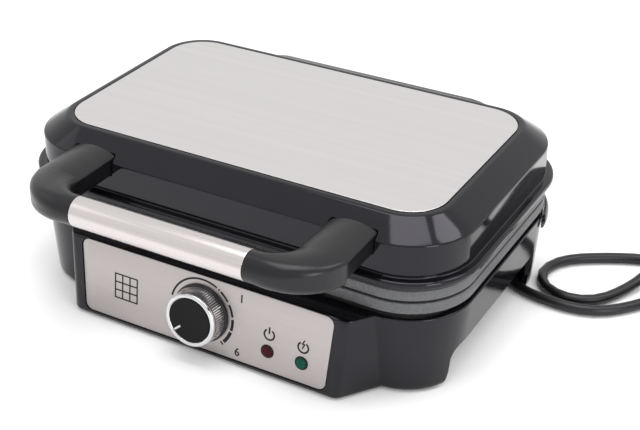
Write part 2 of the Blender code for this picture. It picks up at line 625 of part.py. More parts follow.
def underside_tool(carrier):
    """Leaves only two corner legs standing behind the arches."""
    behind = HALF_Y + BASE_REACH + WALL
    start = ARCH_REAR - WALL
    outer = HALF_X + BASE_FOOT_REACH
    leg_x, leg_y = HALF_X - LEG_INSET_X, HALF_Y + LEG_REACH_Y
    outline = [(-outer, start), (outer, start), (outer - WALL, ARCH_REAR + WALL / 2),
               (leg_x, leg_y), (leg_x - 3 * WALL, behind), (-leg_x + 3 * WALL, behind),
               (-leg_x, leg_y), (-outer + WALL, ARCH_REAR + WALL / 2)]
    low = [Vector((x, y, -BASE_LIFT)) for x, y in outline]
    high = [Vector((x, y, ARCH_HEIGHT)) for x, y in outline]
    return tool("between_legs", [low, high], carrier)


def panel_loop(height_offset, grow):
    """The steel panel's outline in its own plane: narrower at the bottom, rounded corners."""
    half_h = PANEL_HEIGHT / 2 + grow
    radius = PANEL_CORNER + grow
    loop = []
    for sx, sy, start in ((1, -1, -90), (1, 1, 0), (-1, 1, 90), (-1, -1, 180)):
        half_w = (PANEL_TOP_HALF if sy > 0 else PANEL_BOTTOM_HALF) + grow
        loop += arc(sx * (half_w - radius), sy * (half_h - radius), radius, start, 90, 4)
    return [Vector((x, y, height_offset)) for x, y in loop]


def build_control_panel(shell, carrier, panel_axis, paint):
    """The brushed panel in its recess, with the openings for shaft and lenses through both."""
    surface = -PANEL_SINK
    panel = solid("control_panel", [panel_loop(surface - PANEL_THICKNESS, 0.0),
                                    panel_loop(surface, 0.0)],
                  paint["brushed_steel"], panel_axis, location=(0, 0, 0))
    recess_z = surface - PANEL_THICKNESS - GAP
    cut(shell, tool("panel_recess", [panel_loop(recess_z, GAP), panel_loop(WALL, GAP)],
                    panel_axis, location=(0, 0, 0)))
    openings = [("shaft", 0.0, 0.0, SHAFT_RADIUS + LOOSE)]
    for x, label in zip(LENS_SIDEWAYS, ("red", "green")):
        openings.append((label, x, -LENS_BELOW_CENTRE, LENS_RADIUS + GAP))
    for label, x, y, radius in openings:
        drill = tool(f"opening_{label}", disc_rings([(radius, -3 * WALL), (radius, 2 * WALL)], 20),
                     panel_axis, location=(x, y, 0))
        cut(shell, drill)
        cut(panel, drill)
    for x, label in zip(LENS_SIDEWAYS, ("red", "green")):
        front = LENS_PROUD - PANEL_SINK
        solid(f"{label}_lens", disc_rings([(LENS_RADIUS, front - LENS_LENGTH),
                                           (LENS_RADIUS, front - LENS_PROUD * 0.6),
                                           (LENS_RADIUS * 0.7, front)], 20),
              paint[f"{label}_lens"], panel_axis, location=(x, -LENS_BELOW_CENTRE, 0))
        lamp_front = front - LENS_LENGTH - GAP
        solid(f"{label}_lamp", disc_rings([(LAMP_RADIUS, lamp_front - LAMP_LENGTH),
                                           (LAMP_RADIUS, lamp_front)], 16),
              paint["lamp_glass"], panel_axis, location=(x, -LENS_BELOW_CENTRE, 0))


def build_knob(knob_axis, panel_axis, paint):
    """The browning dial on its shaft, and the thermostat behind the panel."""
    back = LOOSE
    ring_z = KNOB_DEPTH - KNOB_RING_DEPTH
    hollow = ring_z - WALL
    boss = SHAFT_RADIUS + WALL
    bore = SHAFT_RADIUS + GAP
    skirt_inner = KNOB_FRONT_RADIUS - WALL
    shaft_end = hollow - WALL
    solid("knob_body", disc_rings([
        (bore, shaft_end), (bore, back + WALL), (boss, back + WALL), (boss, hollow),
        (skirt_inner, hollow), (skirt_inner, back), (KNOB_RADIUS, back),
        (KNOB_RADIUS, back + KNOB_LIP), (KNOB_FRONT_RADIUS + KNOB_LIP / 2, back + KNOB_LIP),
        (KNOB_FRONT_RADIUS, ring_z)], 36), paint["satin_plastic"], knob_axis, location=(0, 0, 0))
    inner = KNOB_CAP_RADIUS + GAP
    start = ring_z + GAP
    solid("knob_ring", disc_rings([
        (inner, start), (KNOB_FRONT_RADIUS, start),
        (KNOB_FRONT_RADIUS, KNOB_DEPTH - KNOB_LIP),
        (KNOB_FRONT_RADIUS - KNOB_LIP, KNOB_DEPTH), (inner, KNOB_DEPTH)], 36),
          paint["chrome"], knob_axis, closed=True, location=(0, 0, 0))
    solid("knob_cap", disc_rings([(KNOB_CAP_RADIUS, start),
                                  (KNOB_CAP_RADIUS, KNOB_DEPTH - PANEL_SINK)], 36),
          paint["satin_plastic"], knob_axis, location=(0, 0, 0))
    shaft_top = shaft_end - GAP
    shaft_back = shaft_top - SHAFT_LENGTH
    solid("thermostat_shaft", disc_rings([(SHAFT_RADIUS, shaft_back), (SHAFT_RADIUS, shaft_top)],
                                         16), paint["sheet_steel"], knob_axis,
          location=(0, 0, 0))
    bracket_front = -(PANEL_SINK + WALL + PANEL_THICKNESS + 2 * GAP)
    bracket_back = bracket_front - SHEET
    half_w, half_h = BRACKET_WIDTH / 2, BRACKET_HEIGHT / 2
    bracket = solid("thermostat_bracket", box_rings((-half_w, -half_h, bracket_back),
                                                    (half_w, half_h, bracket_front)),
                    paint["sheet_steel"], panel_axis, location=(0, 0, 0))
    cut(bracket, tool("bracket_opening", disc_rings([
        (SHAFT_RADIUS + LOOSE, bracket_back - WALL), (SHAFT_RADIUS + LOOSE, bracket_front + WALL)],
        16), panel_axis, location=(0, 0, 0)))
    body_front = bracket_back - GAP
    body_back = body_front - THERMOSTAT_LENGTH
    socket = SHAFT_RADIUS + GAP
    solid("thermostat_body", disc_rings([
        (socket, shaft_back - GAP), (socket, body_front), (THERMOSTAT_RADIUS, body_front),
        (THERMOSTAT_RADIUS, body_back)], 20), paint["ceramic"], panel_axis, location=(0, 0, 0))


def build_underside(shell, carrier, paint):
    """Bottom cover with the lead's outlet, its screws, and the four feet."""
    low, high = COVER_Z, COVER_Z + COVER_THICKNESS
    skirt_front = ARCH_FRONT + GAP + WALL
    profile = [(skirt_front, BASE_LIFT + WALL + GAP), (skirt_front + WALL, BASE_LIFT + WALL + GAP),
               (skirt_front + WALL, low), (HALF_Y + BASE_REACH, low), (HALF_Y + BASE_REACH, high),
               (skirt_front, high)]
    wide = HALF_X + BASE_REACH
    cover = solid("bottom_cover", [across(profile, -wide), across(profile, wide)],
                  paint["satin_plastic"], carrier)
    slack = WALL + LOOSE
    inside = [around(BASE_FOOT_REACH - slack, -BASE_LIFT, BASE_FOOT_CORNER - slack),
              around(BASE_FOOT_REACH - slack, BASE_RIM_Z, BASE_FOOT_CORNER - slack)]
    combine(cover, tool("cover_outline", inside, carrier), "INTERSECT")
    outlet = tool("lead_outlet", box_rings(
        (GLAND.x - GAP - OUTLET_WIDTH, GLAND.y - OUTLET_DEPTH / 2, GLAND_Z - GLAND_ROOT - WALL),
        (GLAND.x - GAP, GLAND.y + OUTLET_DEPTH / 2, low + WALL / 2)), carrier)
    combine(cover, outlet, "UNION")
    screw_x, screw_y = HALF_X - SCREW_INSET_X, HALF_Y - SCREW_INSET_Y
    screw_spots = [(x, y) for x in (-screw_x, screw_x) for y in (-screw_y, screw_y)]
    for number, (x, y) in enumerate(screw_spots, 1):
        cut(cover, tool(f"cover_hole_{number}", disc_rings([
            (SCREW_SHANK + GAP, low - WALL), (SCREW_SHANK + GAP, high + WALL)], 12),
            carrier, location=(x, y, 0)))
        head_z = low - GAP
        solid(f"cover_screw_{number}", disc_rings([
            (SCREW_HEAD * 0.8, head_z - SCREW_HEAD_HEIGHT), (SCREW_HEAD, head_z - GAP),
            (SCREW_HEAD, head_z), (SCREW_SHANK, head_z), (SCREW_SHANK, head_z + SCREW_LENGTH)],
            12), paint["sheet_steel"], carrier, location=(x, y, 0))
    front_x, front_y = HALF_X - FRONT_FOOT_INSET, -(HALF_Y + FRONT_FOOT_REACH)
    rear_x, rear_y = HALF_X - REAR_FOOT_INSET, HALF_Y - REAR_FOOT_BACK
    spots = (("front_left", -front_x, front_y), ("front_right", front_x, front_y),
             ("rear_left", -rear_x, rear_y), ("rear_right", rear_x, rear_y))
    for label, x, y in spots:
        cut(shell, tool(f"foot_hole_{label}", disc_rings([
            (FOOT_PIN + GAP, 0), (FOOT_PIN + GAP, BASE_LIFT + 2 * WALL)], 12), carrier,
            location=(x, y, 0)))
        solid(f"foot_{label}", disc_rings([
            (FOOT_RADIUS * 0.92, 0), (FOOT_RADIUS, GAP), (FOOT_RADIUS, BASE_LIFT - GAP),
            (FOOT_PIN, BASE_LIFT - GAP), (FOOT_PIN, BASE_LIFT + WALL)], 20),
            paint["rubber"], carrier, location=(x, y, 0))


def build_base_inside(carrier, paint):
    """Lower cooking plate, its frame, heater, shield, fuse and terminal block."""
    build_cooking_plate("lower_cooking_plate", carrier, paint["cast_coating"],
                        LOWER_TOP_Z, LOWER_Z, LOWER_BODY_Z)
    reach = BASE_REACH - WALL - LOOSE
    inner = COOK_BODY_REACH - 3 * WALL
    top_z = LOWER_BODY_Z - GAP
    solid("base_inner_frame", [
        around(reach - GAP, top_z - WALL, BASE_CORNER - WALL),
        around(reach - GAP, top_z, BASE_CORNER - WALL),
        around(inner, top_z, COOK_CORNER - COOK_REACH + inner),
        around(inner, top_z - WALL, COOK_CORNER - COOK_REACH + inner),
    ], paint["satin_plastic"], carrier, closed=True)
    element_z = LOWER_BODY_Z - ELEMENT_RADIUS - GAP
    build_element("lower_heating_element", carrier, paint["element_steel"], element_z)
    shield_z = element_z - ELEMENT_RADIUS - 2 * GAP - SHEET
    shield_reach = inner - GAP - LOOSE
    corner = COOK_CORNER - COOK_REACH + shield_reach
    rim_z = top_z - WALL - GAP
    solid("lower_heat_shield", [
        around(shield_reach - SHEET, shield_z + SHEET, corner - SHEET),
        around(shield_reach - SHEET, rim_z, corner - SHEET),
        around(shield_reach, rim_z, corner),
        around(shield_reach, shield_z, corner),
    ], paint["sheet_steel"], carrier)
    fuse = arc(HALF_Y * 0.35, element_z, FUSE_RADIUS, 0, 360, 12)[:-1]
    solid("thermal_fuse", [across(fuse, -FUSE_HALF), across(fuse, FUSE_HALF)], paint["ceramic"],
          carrier)
    block_z = COVER_Z + COVER_THICKNESS + GAP
    solid("terminal_block", box_rings(
        (GLAND.x - TERMINAL_LENGTH, GLAND.y - TERMINAL_WIDTH, block_z),
        (GLAND.x, GLAND.y, block_z + TERMINAL_HEIGHT)), paint["ceramic"], carrier)


def build_hinge_pins(carrier, paint):
    for side, label in ((-1, "left"), (1, "right")):
        ring = arc(HINGE_Y, HINGE_Z, PIN_RADIUS, 0, 360, 12)[:-1]
        outer = side * (HINGE_BLOCK_HALF + LOOSE + EAR_WIDTH)
        inner = outer - side * PIN_LENGTH
        solid(f"hinge_pin_{label}", [across(ring, inner), across(ring, outer)],
              paint["sheet_steel"], carrier)


# ---- Mains lead ----------------------------------------------------------------------------
def build_lead(carrier, paint):
    """Strain relief, free lead, its coil, and a two-pin plug beside the coil."""
    facing = Matrix.Rotation(math.radians(90), 4, "Y")
    solid("cord_gland", disc_rings([
        (GLAND_ROOT, 0), (GLAND_ROOT, GLAND_LENGTH * 0.15), (GLAND_ROOT * 0.85,
         GLAND_LENGTH * 0.15), (GLAND_TIP, GLAND_LENGTH)], 16), paint["rubber"], carrier,
          location=GLAND, rotation=facing)
    start = GLAND + Vector((GLAND_LENGTH + GAP, 0, 0))
    rest = CORD_RADIUS + GAP
    over = 3 * CORD_RADIUS + 3 * GAP
    entry_angle = math.atan2(0.8, -0.6)
    entry = COIL + Vector((0, 0, rest)) + COIL_RADIUS * Vector(
        (math.cos(entry_angle), math.sin(entry_angle), 0))
    heading = Vector((math.sin(entry_angle), -math.cos(entry_angle), 0))
    ring_outer = COIL_RADIUS + CORD_RADIUS + GAP
    clear_run = math.sqrt((ring_outer + GAP) ** 2 - (COIL_RADIUS - CORD_RADIUS) ** 2)
    bends = (
        (-0.0090, -0.0143, 0.0110), (-0.0005, -0.0195, 0.0062), (0.0095, -0.0255, rest),
        (0.0230, -0.0307, rest), (0.0375, -0.0327, rest), (0.0510, -0.0327, rest),
        (0.0635, -0.0293, rest), (0.0745, -0.0217, rest), (0.0870, -0.0070, rest),
        (0.0970, 0.0105, rest), (0.0990, 0.0275, rest), (0.0900, 0.0415, rest),
        (0.0750, 0.0455, rest), (0.0610, 0.0400, rest), (0.0450, 0.0310, rest),
        (0.0320, 0.0215, rest), (0.0240, 0.0110, rest), (0.0210, -0.0005, rest),
        (0.0228, -0.0103, rest), (0.0295, -0.0190, rest), (0.0407, -0.0233, rest),
        (0.0530, -0.0217, rest), (0.0637, -0.0137, rest), (0.0720, 0.0000, rest + 0.0005),
        (0.0785, 0.0145, rest + 0.0022), (0.0840, 0.0285, over - 0.0012),
        (0.0890, 0.0425, over), (0.0950, 0.0555, over - 0.0020),
        (0.1005, 0.0635, rest + 0.0020),
    )
    route = [start, start + Vector((4 * CORD_RADIUS, 0, 0))]
    route += [CORNER + Vector(bend) for bend in bends]
    route.append(entry - heading * (clear_run + GAP))
    tube("power_cord", smooth_route(route, CORD_POINT_SPACING), CORD_RADIUS, 2,
         paint["rubber"], carrier)
    inner, outer = COIL_RADIUS - CORD_RADIUS - GAP, ring_outer
    top = rest + COIL_PITCH * COIL_TURNS + CORD_RADIUS
    solid("power_cord_coil", disc_rings([
        (inner, GAP), (outer, GAP), (outer, top), (inner, top)], 32), paint["rubber"], carrier,
          closed=True, location=COIL)
    towards_front = Matrix.Rotation(math.radians(90), 4, "X")
    tail_end = COIL + Vector((COIL_RADIUS, -PLUG_STANDOFF, PLUG_RADIUS + GAP))
    solid("plug_body", disc_rings([
        (GLAND_TIP, 0), (GLAND_ROOT, PLUG_TAIL), (PLUG_RADIUS * 0.8, PLUG_TAIL + 2 * WALL),
        (PLUG_RADIUS, PLUG_TAIL + 5 * WALL), (PLUG_RADIUS, PLUG_TAIL + PLUG_LENGTH)], 24),
          paint["rubber"], carrier, location=tail_end, rotation=towards_front)
    for side, label in ((-1, "left"), (1, "right")):
        place = tail_end + Vector((side * PLUG_PIN_SPACING / 2,
                                   -(PLUG_TAIL + PLUG_LENGTH + GAP), 0))
        solid(f"plug_pin_{label}", disc_rings([
            (PLUG_PIN_RADIUS, 0), (PLUG_PIN_RADIUS, PLUG_PIN_LENGTH - GAP),
            (PLUG_PIN_RADIUS * 0.7, PLUG_PIN_LENGTH)], 12), paint["chrome"], carrier,
              location=place, rotation=towards_front)


def main():
    for item in list(bpy.data.objects):
        bpy.data.objects.remove(item, do_unlink=True)
    paint = {
        "glossy_plastic": finish("glossy_plastic", (0.030, 0.029, 0.034), 0.22),
        "satin_plastic": finish("satin_plastic", (0.022, 0.022, 0.024), 0.42),
        "brushed_steel": finish("brushed_steel", (0.66, 0.64, 0.62), 0.34, 1.0),
        "sheet_steel": finish("sheet_steel", (0.55, 0.55, 0.55), 0.40, 1.0),
        "element_steel": finish("element_steel", (0.30, 0.29, 0.28), 0.50, 1.0),
        "cast_coating": finish("cast_coating", (0.060, 0.062, 0.066), 0.55),
        "chrome": finish("chrome", (0.82, 0.82, 0.84), 0.10, 1.0),
        "ceramic": finish("ceramic", (0.72, 0.70, 0.64), 0.60),
        "rubber": finish("rubber", (0.012, 0.012, 0.013), 0.50),
        "red_lens": finish("red_lens", (0.20, 0.012, 0.015), 0.18, 0.0, 0.4),
        "green_lens": finish("green_lens", (0.010, 0.22, 0.11), 0.18, 0.0, 0.4),
        "lamp_glass": finish("lamp_glass", (0.80, 0.80, 0.78), 0.10, 0.0, 0.8),
    }
    body = pivot("waffle_maker", FRAME_SHIFT)
    hinge_axis = pivot("lid_hinge_axis", (0, HINGE_Y, HINGE_Z), parent=body)
    hinge_axis["drawn_in_place"] = True
    lean = Matrix((Vector((1, 0, 0)), BOX_UP, BOX_OUT)).transposed()
    panel_axis = pivot("panel_axis", PANEL_CENTRE, lean, body)
    knob_axis = pivot("knob_axis", PANEL_CENTRE, lean, body)
    shell = build_base_shell(body, paint)
    build_control_panel(shell, body, panel_axis, paint)
    build_underside(shell, body, paint)
    build_base_inside(body, paint)
    build_knob(knob_axis, panel_axis, paint)
    build_hinge_pins(body, paint)
    build_lid(hinge_axis, paint)
    build_hinge_block(hinge_axis, paint)
    build_handle(hinge_axis, paint)
    build_lead(body, paint)


main()
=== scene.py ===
"""Visual model of a waffle maker: hinged lid, steel top, bar handle, pegged plates and dial.

Every piece is drawn in the frame's own place, in metres, and rides on one of its bodies.
"""
import json
import logging
import math
from dataclasses import dataclass
from enum import Enum
from typing import Optional, Sequence

import bmesh
import bpy
from mathutils import Matrix, Vector


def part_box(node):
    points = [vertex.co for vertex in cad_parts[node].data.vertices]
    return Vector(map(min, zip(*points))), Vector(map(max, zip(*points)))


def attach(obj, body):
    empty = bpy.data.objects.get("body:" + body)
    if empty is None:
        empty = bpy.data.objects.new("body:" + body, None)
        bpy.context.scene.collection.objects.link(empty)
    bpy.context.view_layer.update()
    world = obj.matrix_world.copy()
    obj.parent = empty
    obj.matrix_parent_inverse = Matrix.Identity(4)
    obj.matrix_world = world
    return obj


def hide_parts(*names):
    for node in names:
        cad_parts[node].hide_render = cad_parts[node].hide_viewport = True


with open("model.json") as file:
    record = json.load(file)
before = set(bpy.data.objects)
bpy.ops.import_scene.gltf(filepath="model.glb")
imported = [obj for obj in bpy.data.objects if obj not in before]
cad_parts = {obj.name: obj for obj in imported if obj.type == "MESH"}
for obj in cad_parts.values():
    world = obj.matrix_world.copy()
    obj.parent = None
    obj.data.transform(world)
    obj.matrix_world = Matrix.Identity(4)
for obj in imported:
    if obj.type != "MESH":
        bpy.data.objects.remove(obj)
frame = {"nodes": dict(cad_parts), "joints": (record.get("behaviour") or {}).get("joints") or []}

LOG = logging.getLogger("waffle_maker")
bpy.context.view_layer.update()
CORNER_STEPS = 14
SOFT_STEPS = 5
ROUND_STEPS = 72
CREASE_DEGREES = 28.0
HAIR = 0.0003                   # gap between touching pieces
FREE_GAP = 0.0006               # gap between pieces that move past each other
QUARTERS = ((1, -1, -90), (1, 1, 0), (-1, 1, 90), (-1, -1, 180))   # side x, side y, start
SIDES = ((-1, "left"), (1, "right"))

Ring = list[Vector]
Profile = Sequence[tuple[float, float, float]]


class Body(str, Enum):
    """The rigid bodies of the frame."""

    BASE = "base"
    LID = "lid"
    KNOB = "knob"


class Slot(str, Enum):
    """The record's material slots."""

    GLOSSY = "glossy_plastic"
    SATIN = "satin_plastic"
    STEEL = "brushed_steel"
    SHEET = "sheet_steel"
    SHEATH = "element_steel"
    CAST = "cast_coating"
    CHROME = "chrome"
    CERAMIC = "ceramic"
    RUBBER = "rubber"
    RED = "red_lens"
    GREEN = "green_lens"
    LAMP = "lamp_glass"


# ---- Finishes ------------------------------------------------------------------------------
class Graph:
    """A material's node tree, with short ways to add and join its nodes."""

    def __init__(self, name: str) -> None:
        """Start a material that holds one Principled shader."""
        self.material = bpy.data.materials.new(name)
        self.material.use_nodes = True
        self.tree = self.material.node_tree
        self.shader = self.tree.nodes["Principled BSDF"]
        self.place = self.add("ShaderNodeTexCoord").outputs["Object"]

    def add(self, kind: str, **settings: object) -> bpy.types.Node:
        """Add a node and set its properties.

        Args:
            kind: Blender's name for the node type.
            settings: Properties of the node.

        Returns:
            The new node.
        """
        node = self.tree.nodes.new(kind)
        for name, value in settings.items():
            setattr(node, name, value)
        return node

    def link(self, source: bpy.types.NodeSocket, target: bpy.types.NodeSocket) -> None:
        """Join two sockets."""
        self.tree.links.new(source, target)

    def fixed(self, **values: object) -> None:
        """Set constants on the shader's own sockets; underscores stand for spaces."""
        for name, value in values.items():
            self.shader.inputs[name.replace("_", " ")].default_value = value

    def noise(self, scale: float, detail: float = 3.0, stretch: Vector = Vector((1, 1, 1)),
              roughness: float = 0.5) -> bpy.types.NodeSocket:
        """Add a noise pattern on object coordinates.

        Args:
            scale: Features for each metre.
            detail: Octaves of the pattern.
            stretch: How much faster the pattern runs along each axis.
            roughness: Share of the fine octaves.

        Returns:
            The pattern's factor socket.
        """
        mapping = self.add("ShaderNodeMapping")
        mapping.inputs["Scale"].default_value = stretch
        pattern = self.add("ShaderNodeTexNoise")
        pattern.inputs["Scale"].default_value = scale
        pattern.inputs["Detail"].default_value = detail
        pattern.inputs["Roughness"].default_value = roughness
        self.link(self.place, mapping.inputs["Vector"])
        self.link(mapping.outputs["Vector"], pattern.inputs["Vector"])
        return pattern.outputs["Fac"]

    def spread(self, factor: bpy.types.NodeSocket, low: float, high: float,
               start: float = 0.3, end: float = 0.7) -> bpy.types.NodeSocket:
        """Map a factor from start..end to low..high and return the result's socket."""
        node = self.add("ShaderNodeMapRange")
        for name, value in (("From Min", start), ("From Max", end), ("To Min", low),
                            ("To Max", high)):
            node.inputs[name].default_value = value
        self.link(factor, node.inputs["Value"])
        return node.outputs["Result"]

    def tint(self, factor: bpy.types.NodeSocket, dark: Sequence[float],
             light: Sequence[float]) -> bpy.types.NodeSocket:
        """Mix two colours by a factor and return the colour's socket."""
        ramp = self.add("ShaderNodeValToRGB")
        ramp.color_ramp.elements[0].position = 0.3
        ramp.color_ramp.elements[1].position = 0.7
        ramp.color_ramp.elements[0].color = (*dark, 1.0)
        ramp.color_ramp.elements[1].color = (*light, 1.0)
        self.link(factor, ramp.inputs["Fac"])
        return ramp.outputs["Color"]

    def bump(self, height: bpy.types.NodeSocket, distance: float, strength: float,
             under: Optional[bpy.types.NodeSocket] = None) -> bpy.types.NodeSocket:
        """Turn a height pattern into a normal and return its socket."""
        node = self.add("ShaderNodeBump")
        node.inputs["Distance"].default_value = distance
        node.inputs["Strength"].default_value = strength
        self.link(height, node.inputs["Height"])
        if under is not None:
            self.link(under, node.inputs["Normal"])
        return node.outputs["Normal"]

    def drive(self, name: str, source: bpy.types.NodeSocket) -> None:
        """Let a pattern drive one of the shader's sockets."""
        self.link(source, self.shader.inputs[name])


def shade(colour: Sequence[float], factor: float) -> tuple[float, float, float]:
    """A colour made lighter or darker."""
    return tuple(min(1.0, channel * factor) for channel in colour)


@dataclass(frozen=True)
class Moulded:
    """Injection-moulded plastic or rubber: a fine grain under a more or less glossy skin."""

    name: str
    colour: tuple[float, float, float]
    roughness: float
    grain: float = 1400.0
    grain_height: float = 0.00002
    mottle: float = 0.12
    sheen_tint: tuple[float, float, float] = (0.96, 0.95, 1.0)
    shine: float = 0.5

    def material(self) -> bpy.types.Material:
        """Build the material."""
        graph = Graph(self.name)
        graph.fixed(IOR=1.48, Specular_IOR_Level=self.shine,
                    Specular_Tint=(*self.sheen_tint, 1.0))
        cloud = graph.noise(38.0, 4.0)
        graph.drive("Base Color", graph.tint(cloud, shade(self.colour, 1 - self.mottle),
                                             shade(self.colour, 1 + self.mottle)))
        fine = graph.noise(self.grain, 2.0)
        graph.drive("Roughness", graph.spread(graph.noise(95.0, 4.0), self.roughness * 0.88,
                                              self.roughness * 1.14))
        wave = graph.bump(graph.noise(120.0, 1.0), 0.00004, 0.05)
        graph.drive("Normal", graph.bump(fine, self.grain_height, 0.20, wave))
        return graph.material


@dataclass(frozen=True)
class Brushed:
    """Steel with fine scratches that run along X."""

    name: str
    colour: tuple[float, float, float]
    roughness: float
    along: float = 9.0
    across: float = 1500.0
    contrast: float = 0.07
    relief: float = 0.30

    def material(self) -> bpy.types.Material:
        """Build the material."""
        graph = Graph(self.name)
        graph.fixed(Metallic=1.0)
        stretch = Vector((self.along / self.across, 1.0, 1.0))
        streaks = graph.noise(self.across, 4.0, stretch, 0.7)
        broad = graph.noise(self.across / 9, 3.0, stretch, 0.6)
        low, high = shade(self.colour, 1 - self.contrast), shade(self.colour, 1 + self.contrast)
        mix = graph.add("ShaderNodeMix", data_type="RGBA", blend_type="MULTIPLY")
        mix.inputs["Factor"].default_value = 0.6
        graph.link(graph.tint(streaks, low, high), mix.inputs["A"])
        graph.link(graph.tint(broad, (0.93, 0.93, 0.93), (1, 1, 1)), mix.inputs["B"])
        graph.drive("Base Color", mix.outputs["Result"])
        graph.drive("Roughness", graph.spread(streaks, self.roughness * 0.85,
                                              self.roughness * 1.2))
        graph.drive("Normal", graph.bump(streaks, 0.00002, self.relief))
        return graph.material


@dataclass(frozen=True)
class Cast:
    """Die-cast metal under a speckled non-stick coating."""

    name: str
    colour: tuple[float, float, float]
    roughness: float

    def material(self) -> bpy.types.Material:
        """Build the material."""
        graph = Graph(self.name)
        graph.fixed(Metallic=0.25)
        speck = graph.noise(1500.0, 2.0, roughness=0.7)
        graph.drive("Base Color", graph.tint(speck, shade(self.colour, 0.65),
                                             shade(self.colour, 1.7)))
        graph.drive("Roughness", graph.spread(speck, self.roughness * 0.8,
                                              self.roughness * 1.15))
        rough = graph.bump(graph.noise(420.0, 3.0), 0.00010, 0.35)
        graph.drive("Normal", graph.bump(graph.noise(1300.0, 2.0), 0.00008, 0.7, rough))
        return graph.material


@dataclass(frozen=True)
class Metal:
    """Plain or polished metal with faint wear in its gloss."""

    name: str
    colour: tuple[float, float, float]
    roughness: float

    def material(self) -> bpy.types.Material:
        """Build the material."""
        graph = Graph(self.name)
        graph.fixed(Metallic=1.0)
        cloud = graph.noise(160.0, 4.0)
        graph.drive("Base Color", graph.tint(cloud, shade(self.colour, 0.93), self.colour))
        graph.drive("Roughness", graph.spread(cloud, self.roughness * 0.8,
                                              self.roughness * 1.3))
        graph.drive("Normal", graph.bump(graph.noise(700.0, 3.0), 0.00001, 0.15))
        return graph.material


@dataclass(frozen=True)
class Lens:
    """Tinted clear plastic over a faceted inner face."""

    name: str
    colour: tuple[float, float, float]
    clear: float

    def material(self) -> bpy.types.Material:
        """Build the material."""
        graph = Graph(self.name)
        graph.fixed(Roughness=0.22, IOR=1.49, Transmission_Weight=self.clear,
                    Specular_IOR_Level=0.12)
        cells = graph.add("ShaderNodeTexVoronoi")
        cells.inputs["Scale"].default_value = 900.0
        graph.link(graph.place, cells.inputs["Vector"])
        graph.drive("Base Color", graph.tint(cells.outputs["Distance"],
                                             shade(self.colour, 0.7), shade(self.colour, 1.3)))
        graph.drive("Normal", graph.bump(cells.outputs["Distance"], 0.0001, 0.3))
        return graph.material


@dataclass(frozen=True)
class Finishes:
    """Every finish of the object, by what it is used for."""

    glossy: Moulded = Moulded("glossy_black", (0.0045, 0.0042, 0.0056), 0.09,
                              sheen_tint=(0.93, 0.90, 1.0), shine=0.37)
    satin: Moulded = Moulded("satin_black", (0.0040, 0.0040, 0.0045), 0.30, 1700.0, shine=0.42)
    face: Moulded = Moulded("dial_face_black", (0.0040, 0.0040, 0.0045), 0.36, shine=0.15)
    under: Moulded = Moulded("underside_black", (0.006, 0.006, 0.0065), 0.50)
    rubber: Moulded = Moulded("soft_black", (0.0030, 0.0030, 0.0033), 0.36, 1900.0, 0.00003)
    ink: Moulded = Moulded("printed_ink", (0.005, 0.005, 0.006), 0.45, shine=0.25)
    pale: Moulded = Moulded("pointer_silver", (0.62, 0.61, 0.60), 0.35)
    ceramic: Moulded = Moulded("unglazed_white", (0.66, 0.63, 0.56), 0.65)
    steel: Brushed = Brushed("brushed_steel", (0.665, 0.645, 0.640), 0.34, contrast=0.035,
                             relief=0.14)
    panel: Brushed = Brushed("brushed_panel", (0.460, 0.426, 0.417), 0.40, 40.0, 1700.0,
                             0.045, 0.10)
    tube: Brushed = Brushed("brushed_tube", (0.64, 0.60, 0.59), 0.25, contrast=0.05, relief=0.2)
    coating: Cast = Cast("cast_coating", (0.085, 0.086, 0.089), 0.46)
    chrome: Metal = Metal("polished_chrome", (0.66, 0.66, 0.67), 0.10)
    knurl: Metal = Metal("satin_chrome", (0.80, 0.80, 0.80), 0.16)
    # Dark metal for the dial's skirt, which shows between the ridges: painted shade in the
    # grooves.
    groove: Metal = Metal("dark_chrome", (0.20, 0.20, 0.205), 0.25)
    sheet: Metal = Metal("plain_sheet", (0.52, 0.52, 0.52), 0.38)
    sheath: Metal = Metal("heated_sheath", (0.27, 0.25, 0.23), 0.48)
    red: Lens = Lens("red_lens", (0.045, 0.004, 0.005), 0.0)
    green: Lens = Lens("green_lens", (0.003, 0.060, 0.038), 0.0)
    lamp: Lens = Lens("lamp_glass", (0.80, 0.78, 0.70), 0.8)

    def built(self) -> dict[str, bpy.types.Material]:
        """Build each finish once and return the materials by field name."""
        return {name: getattr(self, name).material() for name in self.__dataclass_fields__}


# ---- Shapes --------------------------------------------------------------------------------
@dataclass(frozen=True)
class Stop:
    """One corner of a section that runs round the body.

    reach is how far it stands beyond the steel plate's edge, z its height, corner the plan
    radius there, and soft how much of each neighbouring face its own rounding takes.
    """

    reach: float
    z: float
    corner: float
    soft: float = 0.0


@dataclass(frozen=True)
class Plan:
    """The main edges and levels, read from the frame."""

    half_x: float
    half_y: float
    centre_y: float
    top: float
    flange: float
    lower_face: float

    @classmethod
    def read(cls) -> "Plan":
        """Read the steel plate, the flange and the cooking faces."""
        low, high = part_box("lid_top_plate")
        return cls((high.x - low.x) / 2, (high.y - low.y) / 2, (high.y + low.y) / 2, high.z,
                   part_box("lid_shell")[0].z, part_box("lower_cooking_plate")[1].z)

    def at(self, x: float, y: float, z: float) -> Vector:
        """A point given from the middle of the steel plate, with z above the floor."""
        return Vector((x, y + self.centre_y, z))

    def ring(self, stop: Stop) -> Ring:
        """A rounded rectangle about the steel plate, anticlockwise from above."""
        half_x, half_y = self.half_x + stop.reach, self.half_y + stop.reach
        return [self.at(x, y, stop.z)
                for x, y in rounded(half_x, half_y, stop.corner, CORNER_STEPS)]


def rounded(half_x: float, half_y: float, radius: float, steps: int
            ) -> list[tuple[float, float]]:
    """A rounded rectangle about the origin, anticlockwise from its lower right corner."""
    return [(side_x * (half_x - radius) + radius * math.cos(angle),
             side_y * (half_y - radius) + radius * math.sin(angle))
            for side_x, side_y, start in QUARTERS
            for angle in (math.radians(start + 90 * k / steps) for k in range(steps + 1))]


